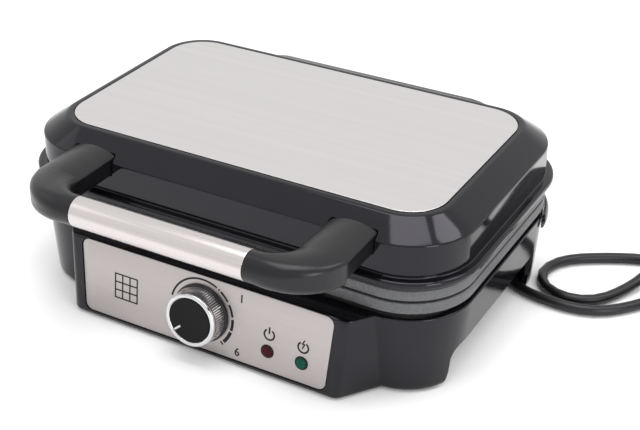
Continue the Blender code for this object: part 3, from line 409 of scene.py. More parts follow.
def middle(node: str) -> tuple[float, float, float]:
    """The middle of a node's box."""
    return tuple((low + high) / 2 for low, high in zip(*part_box(node)))


def soften(stops: Sequence[Stop], loop: bool = False) -> list[Stop]:
    """Replace each soft corner of a section by a short curve.

    Args:
        stops: The section's corners in order.
        loop: Whether the last corner joins the first.

    Returns:
        The section with its rounded corners.
    """
    made: list[Stop] = []
    count = len(stops)
    for index, stop in enumerate(stops):
        if stop.soft <= 0 or (not loop and index in (0, count - 1)):
            made.append(stop)
            continue
        ends = []
        for other in (stops[index - 1], stops[(index + 1) % count]):
            distance = math.hypot(other.reach - stop.reach, other.z - stop.z)
            share = min(0.48, stop.soft / distance)
            ends.append([a + (b - a) * share for a, b in (
                (stop.reach, other.reach), (stop.z, other.z), (stop.corner, other.corner))])
        here = (stop.reach, stop.z, stop.corner)
        for k in range(SOFT_STEPS + 1):
            t = k / SOFT_STEPS
            made.append(Stop(*((1 - t) ** 2 * a + 2 * t * (1 - t) * b + t * t * c
                               for a, b, c in zip(ends[0], here, ends[1]))))
    return made


def mesh_object(name: str, shape: bmesh.types.BMesh) -> bpy.types.Object:
    """Turn a bmesh into an object with outward faces and creases where it turns sharply."""
    bmesh.ops.recalc_face_normals(shape, faces=shape.faces)
    mesh = bpy.data.meshes.new(name)
    shape.to_mesh(mesh)
    shape.free()
    piece = bpy.data.objects.new(name, mesh)
    bpy.context.scene.collection.objects.link(piece)
    return smooth(piece)


def smooth(piece: bpy.types.Object) -> bpy.types.Object:
    """Shade a piece smooth except across its creases."""
    piece.data.shade_smooth()
    piece.data.set_sharp_from_angle(angle=math.radians(CREASE_DEGREES))
    return piece


def loft(name: str, rings: Sequence[Ring], loop: bool = False) -> bpy.types.Object:
    """Join rings of equal length into one closed piece; open ends are capped.

    Args:
        name: The piece's name.
        rings: Loops of points.
        loop: Whether the last ring joins the first.

    Returns:
        The piece.
    """
    shape = bmesh.new()
    verts = [[shape.verts.new(point) for point in ring] for ring in rings]
    pairs = list(zip(verts, verts[1:]))
    if loop:
        pairs.append((verts[-1], verts[0]))
    count = len(rings[0])
    for low, high in pairs:
        for k in range(count):
            n = (k + 1) % count
            shape.faces.new((low[k], low[n], high[n], high[k]))
    if not loop:
        shape.faces.new(list(reversed(verts[0])))
        shape.faces.new(verts[-1])
    bmesh.ops.remove_doubles(shape, verts=shape.verts, dist=1e-7)
    return mesh_object(name, shape)


def baked(piece: bpy.types.Object) -> bpy.types.Object:
    """Turn a piece's modifiers into plain mesh."""
    graph = bpy.context.evaluated_depsgraph_get()
    mesh = bpy.data.meshes.new_from_object(piece.evaluated_get(graph))
    mesh.name = piece.name
    piece.modifiers.clear()
    piece.data = mesh
    return smooth(piece)


def combine(piece: bpy.types.Object, others: Sequence[bpy.types.Object],
            operation: str = "DIFFERENCE") -> bpy.types.Object:
    """Cut or join a piece with other shapes, which are used up.

    Args:
        piece: The piece that stays.
        others: The shapes to use.
        operation: DIFFERENCE, UNION or INTERSECT.

    Returns:
        The piece.
    """
    for other in others:
        modifier = piece.modifiers.new(other.name, "BOOLEAN")
        modifier.operation = operation
        modifier.solver = "EXACT"
        modifier.object = other
        baked(piece)
        bpy.data.objects.remove(other, do_unlink=True)
    return piece


def eased(piece: bpy.types.Object, width: float, degrees: float = 35.0,
          steps: int = 2) -> bpy.types.Object:
    """Round a piece's sharp edges by a narrow bevel."""
    modifier = piece.modifiers.new("eased", "BEVEL")
    modifier.width = width
    modifier.segments = steps
    modifier.limit_method = "ANGLE"
    modifier.angle_limit = math.radians(degrees)
    modifier.use_clamp_overlap = True
    return baked(piece)


def moved(piece: bpy.types.Object, place: Matrix) -> bpy.types.Object:
    """Apply a place to a piece's own mesh."""
    piece.data.transform(place)
    return piece


def turned(name: str, profile: Profile, steps: int = ROUND_STEPS,
           loop: bool = False) -> bpy.types.Object:
    """A turned piece about the Z axis.

    Args:
        name: The piece's name.
        profile: Corners as (radius, z, soft).
        steps: Sides of the circle.
        loop: Whether the section closes on itself, as a ring's does.

    Returns:
        The piece.
    """
    section = soften([Stop(r, z, 0.0, soft) for r, z, soft in profile], loop)
    rings = [[Vector((s.reach * math.cos(a), s.reach * math.sin(a), s.z))
              for a in (2 * math.pi * k / steps for k in range(steps))] for s in section]
    return loft(name, rings, loop)


def slab(name: str, low: Sequence[float], high: Sequence[float]) -> bpy.types.Object:
    """A plain block that only cuts another piece."""
    rings = [[Vector((low[0], low[1], z)), Vector((high[0], low[1], z)),
              Vector((high[0], high[1], z)), Vector((low[0], high[1], z))]
             for z in (low[2], high[2])]
    return loft(name, rings)


def bored(piece: bpy.types.Object, sign: int, centre: Sequence[float], radius: float,
          start: float, end: float) -> bpy.types.Object:
    """Drill a piece along X from start to end, on the side that the sign names."""
    drill = turned("pin_bore", [(radius, start, 0), (radius, end, 0)], 32)
    turn = Matrix.Rotation(math.radians(90 * sign), 4, "Y")
    spot = Matrix.Translation((0, centre[1], centre[2]))
    return combine(piece, [moved(drill, spot @ turn)])


def dress(piece: bpy.types.Object, material: bpy.types.Material, body: Body, slot: Slot,
          *nodes: str) -> bpy.types.Object:
    """Give a finished piece its material and its body, and hide the nodes that it stands for."""
    piece.data.materials.clear()
    piece.data.materials.append(material)
    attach(piece, body.value)
    if nodes:
        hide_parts(*nodes)
    LOG.info("%s: %d faces on %s", piece.name, len(piece.data.polygons)
             if piece.type == "MESH" else 0, body.value)
    return piece


class Pattern(Enum):
    """How copies of a small shape are laid out."""

    GRID = "grid"
    RING = "ring"


def repeated(name: str, unit: bpy.types.Object, pattern: Pattern, material: bpy.types.Material,
             sizes: dict[str, float]) -> bpy.types.Object:
    """Lay out copies of a small shape with a node tree and turn them into plain mesh.

    Args:
        name: The piece's name.
        unit: The shape to copy, which is used up.
        pattern: A grid in the XY plane, or a ring about Z with each copy's X axis outwards.
        material: The finish that the tree sets.
        sizes: For a grid Width, Depth, Columns and Rows; for a ring Radius and Count.

    Returns:
        The piece, about the origin.
    """
    tree = bpy.data.node_groups.new(name, "GeometryNodeTree")
    tree.interface.new_socket("Geometry", in_out="OUTPUT", socket_type="NodeSocketGeometry")
    sockets = {"Unit": tree.interface.new_socket("Unit", in_out="INPUT",
                                                 socket_type="NodeSocketObject")}
    for label, value in sizes.items():
        kind = "NodeSocketInt" if isinstance(value, int) else "NodeSocketFloat"
        sockets[label] = tree.interface.new_socket(label, in_out="INPUT", socket_type=kind)
    nodes, link = tree.nodes, tree.links.new
    start, end = nodes.new("NodeGroupInput"), nodes.new("NodeGroupOutput")
    info = nodes.new("GeometryNodeObjectInfo")
    link(start.outputs["Unit"], info.inputs["Object"])
    copies = nodes.new("GeometryNodeInstanceOnPoints")
    link(info.outputs["Geometry"], copies.inputs["Instance"])
    if pattern is Pattern.GRID:
        points = nodes.new("GeometryNodeMeshGrid")
        for label, socket in (("Width", "Size X"), ("Depth", "Size Y"),
                              ("Columns", "Vertices X"), ("Rows", "Vertices Y")):
            link(start.outputs[label], points.inputs[socket])
    else:
        points = nodes.new("GeometryNodeMeshCircle")
        link(start.outputs["Radius"], points.inputs["Radius"])
        link(start.outputs["Count"], points.inputs["Vertices"])
        aim = nodes.new("FunctionNodeAlignRotationToVector")
        aim.axis = "X"
        link(nodes.new("GeometryNodeInputPosition").outputs["Position"], aim.inputs["Vector"])
        link(aim.outputs["Rotation"], copies.inputs["Rotation"])
    link(points.outputs["Mesh"], copies.inputs["Points"])
    real = nodes.new("GeometryNodeRealizeInstances")
    paint = nodes.new("GeometryNodeSetMaterial")
    paint.inputs["Material"].default_value = material
    link(copies.outputs["Instances"], real.inputs["Geometry"])
    link(real.outputs["Geometry"], paint.inputs["Geometry"])
    link(paint.outputs["Geometry"], end.inputs["Geometry"])
    host = bpy.data.objects.new(name, bpy.data.meshes.new(name))
    bpy.context.scene.collection.objects.link(host)
    modifier = host.modifiers.new(name, "NODES")
    modifier.node_group = tree
    modifier[sockets["Unit"].identifier] = unit
    for label, value in sizes.items():
        modifier[sockets[label].identifier] = value
    host = baked(host)
    bpy.data.objects.remove(unit, do_unlink=True)
    return host


# ---- Lid -----------------------------------------------------------------------------------
@dataclass
class Lid:
    """The lid: chamfered cover with a rolled flange, steel plate, inner frame, hinge block."""

    plan: Plan
    paint: dict[str, bpy.types.Material]
    wall: float = 0.0025
    rim_reach: float = 0.0040
    rim_corner: float = 0.026
    shoulder_reach: float = 0.0188
    shoulder_corner: float = 0.040
    shoulder_drop: float = 0.0105
    flange_corner: float = 0.044
    flange_height: float = 0.0045
    plate_corner: float = 0.0235
    plate_gap: float = 0.0008
    plate_sheet: float = 0.0008
    block_fall: float = 0.0020
    block_rise: float = 0.0048
    block_ends: tuple[tuple[float, float, float], ...] = (   # share of the half, drop, squeeze
        (0.8, 0, 0), (0.88, 0.0009, 0), (0.95, 0.0032, 0), (0.985, 0.0062, 0.0003),
        (1, 0.0085, 0.0012))
    frame_reach: float = 0.0113
    frame_corner: float = 0.041
    panel_depth: float = 0.0013
    panel_length: float = 0.128
    panel_drop: tuple[float, float] = (0.0120, 0.0292)

    def build(self) -> None:
        """Build and dress the lid's pieces."""
        self.cover()
        self.steel_plate()
        self.inner_frame()
        self.hinge_block()

    def cover(self) -> None:
        """The moulded cover, with a shallow panel in each side and a pocket for each arm."""
        top, foot = self.plan.top, self.plan.flange
        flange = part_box("lid_shell")[1].x - self.plan.half_x
        rim_z = top - HAIR
        ceiling = top - self.plate_sheet - HAIR - self.wall
        inner, inner_corner = self.shoulder_reach - self.wall, self.shoulder_corner - self.wall
        pocket = top - self.plate_sheet - HAIR
        stops = [
            Stop(self.rim_reach - self.wall, ceiling, self.rim_corner - self.wall),
            Stop(inner, top - self.shoulder_drop - self.wall, inner_corner, 0.002),
            Stop(inner, foot, inner_corner, 0.0004),
            Stop(flange, foot, self.flange_corner, 0.0018),
            Stop(flange, foot + self.flange_height, self.flange_corner, 0.0022),
            Stop(self.shoulder_reach, foot + self.flange_height, self.shoulder_corner, 0.0009),
            Stop(self.shoulder_reach, top - self.shoulder_drop, self.shoulder_corner, 0.0009),
            Stop(self.rim_reach, rim_z, self.rim_corner, 0.0011),
            Stop(self.plate_gap, rim_z, self.plate_corner + self.plate_gap, 0.0003),
            Stop(self.plate_gap, pocket, self.plate_corner + self.plate_gap),
        ]
        cover = loft("lid_cover", [self.plan.ring(stop) for stop in soften(stops)])
        side = self.plan.half_x + self.shoulder_reach
        start = self.shoulder_corner - self.plan.half_y - self.shoulder_reach - 0.006
        cuts = []
        for sign in (-1, 1):
            inside, outside = sign * (side - self.panel_depth), sign * (side + 0.0015)
            low = self.plan.at(min(inside, outside), start, top - self.panel_drop[1])
            high = self.plan.at(max(inside, outside), start + self.panel_length,
                                top - self.panel_drop[0])
            cuts.append(slab(f"side_panel_{sign}", low, high))
            cuts.append(Handle(self.plan, self.paint).arm("arm_pocket", sign, 0.0006))
        combine(cover, cuts)
        dress(cover, self.paint["glossy"], Body.LID, Slot.GLOSSY, "lid_shell")

    def steel_plate(self) -> None:
        """The brushed plate, with a fine rounded edge."""
        top = self.plan.top
        stops = [Stop(0, top - self.plate_sheet, self.plate_corner),
                 Stop(0, top, self.plate_corner, 0.0004),
                 Stop(-0.002, top, self.plate_corner - 0.002)]
        plate = loft("steel_top", [self.plan.ring(stop) for stop in soften(stops)])
        dress(plate, self.paint["steel"], Body.LID, Slot.STEEL, "lid_top_plate")

    def inner_frame(self) -> None:
        """The black frame between the flange and the upper plate."""
        low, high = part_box("lid_inner_frame")
        reach = high.x - self.plan.half_x
        inside, corner = self.frame_reach, self.frame_corner
        stops = [Stop(reach, low.z, corner, 0.0006), Stop(reach, high.z, corner, 0.0006),
                 Stop(inside, high.z, corner - reach + inside),
                 Stop(inside, low.z, corner - reach + inside)]
        piece = loft("lid_frame", [self.plan.ring(stop) for stop in soften(stops, True)], True)
        dress(piece, self.paint["under"], Body.LID, Slot.GLOSSY, "lid_inner_frame")

    def hinge_block(self) -> None:
        """The block behind the lid, round about the hinge axis and sloped at its ends."""
        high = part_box("lid_hinge_block")[1]
        pin_low, pin_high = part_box("hinge_pin_left")
        _, axis_y, axis_z = middle("hinge_pin_left")
        barrel = high.y - axis_y
        front = self.plan.centre_y + self.plan.half_y + self.shoulder_reach + HAIR
        below = self.plan.centre_y + self.plan.half_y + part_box("lid_shell")[1].x
        below += HAIR - self.plan.half_x
        rings = []
        left = [(-share, drop, squeeze) for share, drop, squeeze in self.block_ends[::-1]]
        for share, drop, squeeze in (*left, *self.block_ends):
            x = share * high.x
            top = high.z - drop
            profile = []
            for k in range(25):
                angle = math.radians(180 + 180 * k / 24)
                profile.append((axis_y + (barrel - squeeze) * math.cos(angle),
                                axis_z + (barrel - squeeze) * math.sin(angle)))
            for k in range(13):
                angle = math.radians(90 * k / 12)
                profile.append((axis_y + (barrel - squeeze) * math.cos(angle),
                                top - barrel + (barrel - self.block_fall) * math.sin(angle)))
            profile += [(front, top + self.block_rise),
                        (front, self.plan.flange + self.flange_height + HAIR),
                        (below, self.plan.flange + self.flange_height),
                        (below, self.plan.flange - FREE_GAP),
                        (axis_y - barrel + squeeze, self.plan.flange - FREE_GAP)]
            rings.append([Vector((x, y, z)) for y, z in profile])
        block = loft("hinge_block", rings)
        radius = (pin_high.z - pin_low.z) / 2 + HAIR
        for sign, label in SIDES:
            inner = min(abs(corner.x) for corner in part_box(f"hinge_pin_{label}")) - FREE_GAP
            bored(block, sign, (0, axis_y, axis_z), radius, inner, high.x + 0.002)
        dress(block, self.paint["glossy"], Body.LID, Slot.GLOSSY, "lid_hinge_block")


@dataclass
class Handle:
    """Two moulded arms and the steel sleeve between them."""

    plan: Plan
    paint: dict[str, bpy.types.Material]
    centre_x: float = 0.0870
    root_y: float = -0.0870
    half_width: float = 0.0145
    top_drop: float = 0.0040
    straight_y: tuple[float, float] = (-0.098, -0.110)
    step_y: float = -0.1215
    collar: float = 0.0060
    under_drop: tuple[float, float] = (0.0190, 0.0216)
    crown: float = 0.0036
    socket_gap: float = 0.0013
    edge: float = 0.0017
    sleeve_wall: float = 0.0007

    def build(self) -> None:
        """Build and dress the arms and the sleeve."""
        for sign, label in SIDES:
            piece = self.arm(f"arm_{label}", sign)
            dress(piece, self.paint["satin"], Body.LID, Slot.SATIN, f"handle_arm_{label}")
        self.sleeve()

    def bar(self) -> tuple[float, float, float, float]:
        """The bar's axis (y from the plate's middle, z), radius and half length."""
        low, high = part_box("handle_sleeve")
        return ((low.y + high.y) / 2 - self.plan.centre_y, (low.z + high.z) / 2,
                (high.z - low.z) / 2, high.x)

    def arm(self, name: str, sign: int, grow: float = 0.0) -> bpy.types.Object:
        """One arm, from its root in the lid's pocket round to the collar on the bar.

        Args:
            name: The piece's name.
            sign: -1 for the left arm, 1 for the right one.
            grow: How much thicker than the arm the shape is.

        Returns:
            The arm.
        """
        bar_y, bar_z, radius, half = self.bar()
        bend = self.centre_x - half - self.collar
        top = self.plan.top - self.top_drop
        low_near, low_far = (self.plan.top - drop for drop in self.under_drop)
        stations = []
        back = self.root_y + (self.socket_gap if grow else 0.0)
        for y, low in ((back, low_near), (self.root_y - 0.0006, low_near),
                       *((y, low_near) for y in self.straight_y),
                       (self.step_y + 0.0012, low_near),
                       (self.step_y - 0.0012, low_far)):
            stations.append((self.centre_x, y, 90.0, 0.0, top, low))
        begin = self.step_y - 0.0016
        turn_y = bar_y + bend
        if begin > turn_y:
            stations.append((self.centre_x, turn_y, 90.0, 0.0, top, low_far))
        for k in range(1, 17):
            t = k / 16
            angle = math.radians(90 * t)
            y = turn_y - bend * math.sin(angle)
            if y > begin:
                continue
            drop = t * t * (3 - 2 * t)
            stations.append((self.centre_x - bend + bend * math.cos(angle), y, 90 - 90 * t,
                             t ** 1.6 * (1.9 - 0.9 * t),
                             top * (1 - drop) + (bar_z + radius) * drop,
                             low_far * (1 - drop) + (bar_z - radius) * drop))
        stations.append((half + HAIR, bar_y, 0.0, 1.0, bar_z + radius, bar_z - radius))
        rings = []
        for x, y, heading, blend, high, low in stations:
            half_w = self.half_width * (1 - blend) + radius * blend + grow
            half_h, middle = (high - low) / 2 + grow, (high + low) / 2
            corner = min(self.edge * (1 - blend) + radius * blend + grow, half_w, half_h)
            across = Vector((math.sin(math.radians(heading)),
                             -math.cos(math.radians(heading)), 0))
            ring = []
            for u, v in self.section(half_w, half_h, corner):
                crown = self.crown * (1 - blend) * (u / half_w) ** 2 * max(0.0, v / half_h)
                point = self.plan.at(x, y, middle + v - crown) + across * u
                ring.append(Vector((sign * point.x, point.y, point.z)))
            rings.append(ring)
        return loft(name, rings)

    def section(self, half_w: float, half_h: float, corner: float
                ) -> list[tuple[float, float]]:
        """A rounded rectangle with even points on its flats, so that it can be crowned."""
        points: list[tuple[float, float]] = []
        for side_u, side_v, start in QUARTERS:
            arc = [(side_u * (half_w - corner) + corner * math.cos(math.radians(start + t)),
                    side_v * (half_h - corner) + corner * math.sin(math.radians(start + t)))
                   for t in range(0, 91, 10)]
            if points:
                (u, v), (far_u, far_v) = points[-1], arc[0]
                points += [(u + (far_u - u) * k / 7, v + (far_v - v) * k / 7)
                           for k in range(1, 7)]
            points += arc
        (u, v), (far_u, far_v) = points[-1], points[0]
        return points + [(u + (far_u - u) * k / 7, v + (far_v - v) * k / 7)
                         for k in range(1, 7)]

    def sleeve(self) -> None:
        """The brushed sleeve, with its edges turned in."""
        bar_y, bar_z, radius, half = self.bar()
        inner = radius - self.sleeve_wall
        tube = turned("bar_sleeve", [
            (inner, -half, 0), (radius, -half, 0.0003), (radius, half, 0.0003),
            (inner, half, 0)], 96, True)
        place = Matrix.Translation(self.plan.at(0, bar_y, bar_z))
        moved(tube, place @ Matrix.Rotation(math.radians(90), 4, "Y"))
        dress(tube, self.paint["tube"], Body.LID, Slot.STEEL, "handle_sleeve")


# ---- Cooking plates ------------------------------------------------------------------------
@dataclass
class CookingPlates:
    """The two die-cast plates, each with two wells full of square pegs."""

    plan: Plan
    paint: dict[str, bpy.types.Material]
    reach: float = 0.0200
    corner: float = 0.041
    body_reach: float = 0.0110
    bridge: float = 0.012
    margin: float = 0.0075
    columns: int = 5
    rows: int = 6
    rib: float = 0.0060
    depth: float = 0.0085
    well_corner: float = 0.004
    peg_height: float = 0.0065
    peg_draft: float = 0.0022

    def build(self) -> None:
        """Build and dress both plates with their pegs."""
        self.plate("upper_plate", "upper_cooking_plate", Body.LID, 1.0, 0.0065)
        self.plate("lower_plate", "lower_cooking_plate", Body.BASE, -1.0, 0.0070)

    def plate(self, name: str, node: str, body: Body, inward: float, band: float) -> None:
        """One plate.

        Args:
            name: The piece's name.
            node: The CAD node that it stands for.
            body: The body that it rides on.
            inward: 1 where the metal lies above its cooking face, -1 where below.
            band: The height of its outer band.
        """
        low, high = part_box(node)
        face = low.z if inward > 0 else high.z
        back = high.z if inward > 0 else low.z
        body_corner = self.corner - self.reach + self.body_reach
        stops = [Stop(self.reach, face, self.corner, 0.0008),
                 Stop(self.reach, face + inward * band, self.corner, 0.0008),
                 Stop(self.body_reach, face + inward * band, body_corner, 0.0008),
                 Stop(self.body_reach, back, body_corner)]
        stops.insert(0, Stop(self.reach - 0.004, face, self.corner - 0.004))
        plate = loft(name, [self.plan.ring(stop) for stop in soften(stops)])
        cell_x = (self.plan.half_x - self.margin - self.bridge / 2) / self.columns
        cell_y = 2 * (self.plan.half_y - self.margin) / self.rows
        wells, pegs = [], []
        for sign, label in SIDES:
            centre = self.plan.at(sign * (self.bridge / 2 + self.columns * cell_x / 2), 0, 0)
            size = Vector((self.columns * cell_x / 2, self.rows * cell_y / 2))
            wells.append(self.well(centre, size, face, inward))
            pegs.append(self.pegs(f"{name}_pegs_{label}", centre, (cell_x, cell_y), face,
                                  inward))
        combine(plate, wells)
        dress(plate, self.paint["coating"], body, Slot.CAST, node)
        for piece in pegs:
            dress(piece, self.paint["coating"], body, Slot.CAST)

    def well(self, centre: Vector, size: Vector, face: float, inward: float
             ) -> bpy.types.Object:
        """The hollow of one waffle, with sloped walls and rounded corners."""
        rings = []
        for shrink, depth in ((-0.0009, -0.0006), (-0.0003, 0.0002), (0.0, 0.0008),
                              (0.0013, self.depth - 0.0007), (0.0020, self.depth)):
            radius = self.well_corner - shrink * 0.5
            rings.append([Vector((centre.x + x, centre.y + y, face + inward * depth))
                          for x, y in rounded(size.x - shrink, size.y - shrink, radius, 6)])
        return loft("well", rings)

    def pegs(self, name: str, centre: Vector, cell: tuple[float, float], face: float,
             inward: float) -> bpy.types.Object:
        """The pegs of one waffle, laid out on a grid."""
        foot = face + inward * (self.depth + HAIR)
        head = face + inward * (self.depth - self.peg_height)
        rings = []
        for inset, z in ((0.0, foot), (self.peg_draft, head)):
            half_x, half_y = (c / 2 - self.rib / 2 - inset for c in cell)
            rings.append([Vector((sx * half_x, sy * half_y, z))
                          for sx, sy in ((1, -1), (1, 1), (-1, 1), (-1, -1))])
        peg = eased(loft("peg", rings), 0.0010, 30.0, 3)
        piece = repeated(name, peg, Pattern.GRID, self.paint["coating"], {
            "Width": cell[0] * (self.columns - 1), "Depth": cell[1] * (self.rows - 1),
            "Columns": self.columns, "Rows": self.rows})
        return moved(piece, Matrix.Translation((centre.x, centre.y, 0)))


# ---- Base ----------------------------------------------------------------------------------
@dataclass
class Base:
    """The base: drafted tub with arches, control box, hinge ears, cover, feet and screws."""

    plan: Plan
    paint: dict[str, bpy.types.Material]
    wall: float = 0.0025
    rim_below_face: float = 0.0112
    reach: float = 0.0200
    corner: float = 0.041
    foot_reach: float = 0.0165
    foot_corner: float = 0.036
    lift: float = 0.0011
    fillet: float = 0.0040
    box_half: tuple[float, float] = (0.0945, 0.0915)
    box_front: tuple[float, float] = (0.0335, 0.0396)
    box_splay: float = 0.73
    box_round: float = 0.0022
    arch_height: float = 0.0257
    arch_front: float = -0.0660
    arch_rear: float = 0.0500
    arch_corner: float = 0.009
    leg: tuple[float, float] = (0.098, 0.076)
    ear_radius: float = 0.0120
    ear_width: float = 0.0150
    ear_bore: float = 0.0033

    def build(self, panel: "Panel") -> None:
        """Build and dress the base's pieces."""
        self.shell(panel)
        self.ears()
        self.corner_guards()
        self.cover_ribs()
        self.feet()
        self.screws()

    def rim(self) -> float:
        """The height of the base's rim."""
        return self.plan.lower_face - self.rim_below_face

    def shell(self, panel: "Panel") -> None:
        """The tub with its control box, its arches and the panel's recess."""
        rim, foot, wall = self.rim(), self.lift + self.fillet, self.wall
        stops = [
            Stop(self.foot_reach - self.fillet * 1.4, self.lift,
                 self.foot_corner - self.fillet * 1.4),
            Stop(self.foot_reach, self.lift, self.foot_corner, self.fillet),
            Stop(self.reach, rim, self.corner, 0.0011),
            Stop(self.reach - wall, rim, self.corner - wall, 0.0006),
            Stop(self.foot_reach - wall, foot + wall, self.foot_corner - wall, 0.003),
            Stop(self.foot_reach - wall - self.fillet, self.lift + wall,
                 self.foot_corner - wall - self.fillet),
        ]
        shell = loft("base_cover", [self.plan.ring(stop) for stop in soften(stops)])
        back_low = -(self.plan.half_y + self.foot_reach) + wall / 2
        back_high = -(self.plan.half_y + self.reach) + wall / 2
        box = loft("control_box", self.box_rings(0.0, back_low, back_high, 0.0))
        combine(shell, [box], "UNION")
        hollow = loft("box_hollow", self.box_rings(wall, back_low + 2 * wall,
                                                   back_high + wall, wall))
        combine(shell, [hollow, self.arches(), self.between_legs(), panel.recess()])
        combine(shell, panel.openings())
        dress(shell, self.paint["glossy"], Body.BASE, Slot.GLOSSY, "base_shell")

    def box_rings(self, shrink: float, back_low: float, back_high: float,
                  inset_z: float) -> list[Ring]:
        """Sections of the control box, from its bottom up, with rounded front corners."""
        low_z, high_z = self.lift + inset_z, self.rim() - inset_z
        levels = [(low_z, self.box_round if not shrink else 0.0),
                  (low_z + self.box_round * 0.3, self.box_round * 0.3),
                  (low_z + self.box_round, 0.0), (high_z - 0.0012, 0.0),
                  (high_z - 0.0004, 0.0003), (high_z, 0.0010)]
        rings = []
        for z, pull in levels:
            t = (z - self.lift) / (self.rim() - self.lift)
            half = self.box_half[1] + (self.box_half[0] - self.box_half[1]) * t
            ahead = self.box_front[1] + (self.box_front[0] - self.box_front[1]) * t
            back = back_low + (back_high - back_low) * t
            front = -(self.plan.half_y + ahead) + shrink + pull
            reach = half - shrink - pull * 0.6
            run = back - front
            ring: Ring = []
            for sign in (-1, 1):
                corner = Vector((sign * reach, front))
                side = Vector((sign * self.box_splay, 1.0)).normalized()
                along = Vector((-sign, 0.0))
                ends = [corner + side * 0.0032, corner + along * 0.0032]
                if sign > 0:
                    ends.reverse()
                for k in range(7):
                    u = k / 6
                    spot = (1 - u) ** 2 * ends[0] + 2 * u * (1 - u) * corner + u * u * ends[1]
                    ring.append(self.plan.at(spot.x, spot.y, z))
            ring.append(self.plan.at(reach + self.box_splay * run, back, z))
            ring.append(self.plan.at(-reach - self.box_splay * run, back, z))
            rings.append(ring)
        return rings

    def arches(self) -> bpy.types.Object:
        """The opening under the side walls, rounded at its front."""
        profile = [(self.arch_rear, -self.lift), (self.arch_rear, self.arch_height)]
        for k in range(13):
            angle = math.radians(90 + 7.5 * k)
            profile.append((self.arch_front + self.arch_corner * (1 + math.cos(angle)),
                            self.arch_height - self.arch_corner * (1 - math.sin(angle))))
        for k in range(1, 7):
            t = k / 6
            profile.append((self.arch_front - 0.004 * t ** 3,
                            (self.arch_height - self.arch_corner) * (1 - t) - self.lift * t))
        far = self.plan.half_x + self.reach + self.wall
        return loft("arches", [[self.plan.at(x, y, z) for y, z in profile]
                               for x in (-far, far)])

    def between_legs(self) -> bpy.types.Object:
        """Leaves two corner legs standing behind the arches."""
        behind = self.plan.half_y + self.reach + self.wall
        outer = self.plan.half_x + self.foot_reach
        start, (leg_x, leg_y) = self.arch_rear - self.wall, self.leg
        outline = [(-outer, start), (outer, start),
                   (outer - self.wall, self.arch_rear + self.wall / 2), (leg_x, leg_y),
                   (leg_x - 3 * self.wall, behind), (-leg_x + 3 * self.wall, behind),
                   (-leg_x, leg_y), (-outer + self.wall, self.arch_rear + self.wall / 2)]
        return loft("between_legs", [[self.plan.at(x, y, z) for x, y in outline]
                                     for z in (-self.lift, self.arch_height)])

    def ears(self) -> None:
        """The hinge ears on the rear wall, round about the hinge axis."""
        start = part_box("lid_hinge_block")[1].x + FREE_GAP
        wall_y = self.plan.centre_y + self.plan.half_y + self.reach - self.wall / 2
        end = start + self.ear_width
        for sign, label in SIDES:
            _, axis_y, axis_z = middle(f"hinge_pin_{label}")
            outline = []
            for k in range(33):
                angle = math.radians(-45 + 195 * k / 32)
                outline.append((axis_y + self.ear_radius * math.cos(angle),
                                axis_z + self.ear_radius * math.sin(angle)))
            outline += [(wall_y, axis_z - self.ear_radius * 1.2),
                        (wall_y, axis_z - self.ear_radius * 2.4)]
            ear = loft(f"hinge_ear_{label}", [
                [Vector((sign * x, y, z)) for y, z in outline]
                for x in (start, end)])
            eased(ear, 0.0009, 50.0, 3)
            bored(ear, sign, (0, axis_y, axis_z), self.ear_bore, start - 0.002, end + 0.002)
            dress(ear, self.paint["glossy"], Body.BASE, Slot.GLOSSY)

    def corner_guards(self) -> None:
        """A rounded guard round each rear corner, beside the plates."""
        middle_z, half_z, proud = self.rim() - 0.0028, 0.0075, 0.0034
        centre = Vector((self.plan.half_x + self.reach - self.corner,
                         self.plan.half_y + self.reach - self.corner))
        for sign, label in SIDES:
            rings = []
            for k in range(25):
                t = k / 24
                angle = math.radians(4 + 82 * t)
                swell = math.sin(math.pi * t) ** 0.35 if 0 < t < 1 else 0.05
                ring = []
                for n in range(20):
                    turn = 2 * math.pi * n / 20
                    out = self.corner + HAIR + 0.0004 + proud * swell * max(
                        0.0, math.cos(turn)) ** 0.8
                    if math.cos(turn) < 0:
                        out = self.corner + HAIR + 0.0004
                    z = middle_z + half_z * (0.55 + 0.45 * swell) * math.sin(turn)
                    point = self.plan.at(centre.x + out * math.cos(angle),
                                         centre.y + out * math.sin(angle), z)
                    ring.append(Vector((sign * point.x, point.y, point.z)))
                rings.append(ring)
            guard = loft(f"corner_guard_{label}", rings)
            dress(guard, self.paint["glossy"], Body.BASE, Slot.GLOSSY)

    def cover_ribs(self) -> None:
        """Stiffening ribs on the underside of the bottom cover."""
        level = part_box("cover_screw_1")[1].z - 0.0074
        rib = eased(slab("rib", (-0.0009, -0.036, level - 0.0012), (0.0009, 0.036, level)),
                    0.0003)
        ribs = repeated("cover_ribs", rib, Pattern.GRID, self.paint["under"],
                        {"Width": 0.130, "Depth": 0.0, "Columns": 14, "Rows": 1})
        moved(ribs, Matrix.Translation(self.plan.at(-0.010, -0.004, 0)))
        dress(ribs, self.paint["under"], Body.BASE, Slot.SATIN)

    def feet(self) -> None:
        """Four turned rubber feet."""
        for label in ("front_left", "front_right", "rear_left", "rear_right"):
            low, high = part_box(f"foot_{label}")
            radius, (x, y, _) = (high.x - low.x) / 2, middle(f"foot_{label}")
            foot = turned(f"rubber_foot_{label}", [
                (radius * 0.55, 0.0006, 0), (radius * 0.6, 0.0, 0.0004),
                (radius * 0.92, 0.0, 0.0006), (radius, self.lift - 0.0001, 0.0004),
                (0.0024, self.lift - 0.0001, 0), (0.0024, high.z, 0)], 40)
            moved(foot, Matrix.Translation((x, y, 0)))
            dress(foot, self.paint["rubber"], Body.BASE, Slot.RUBBER, f"foot_{label}")

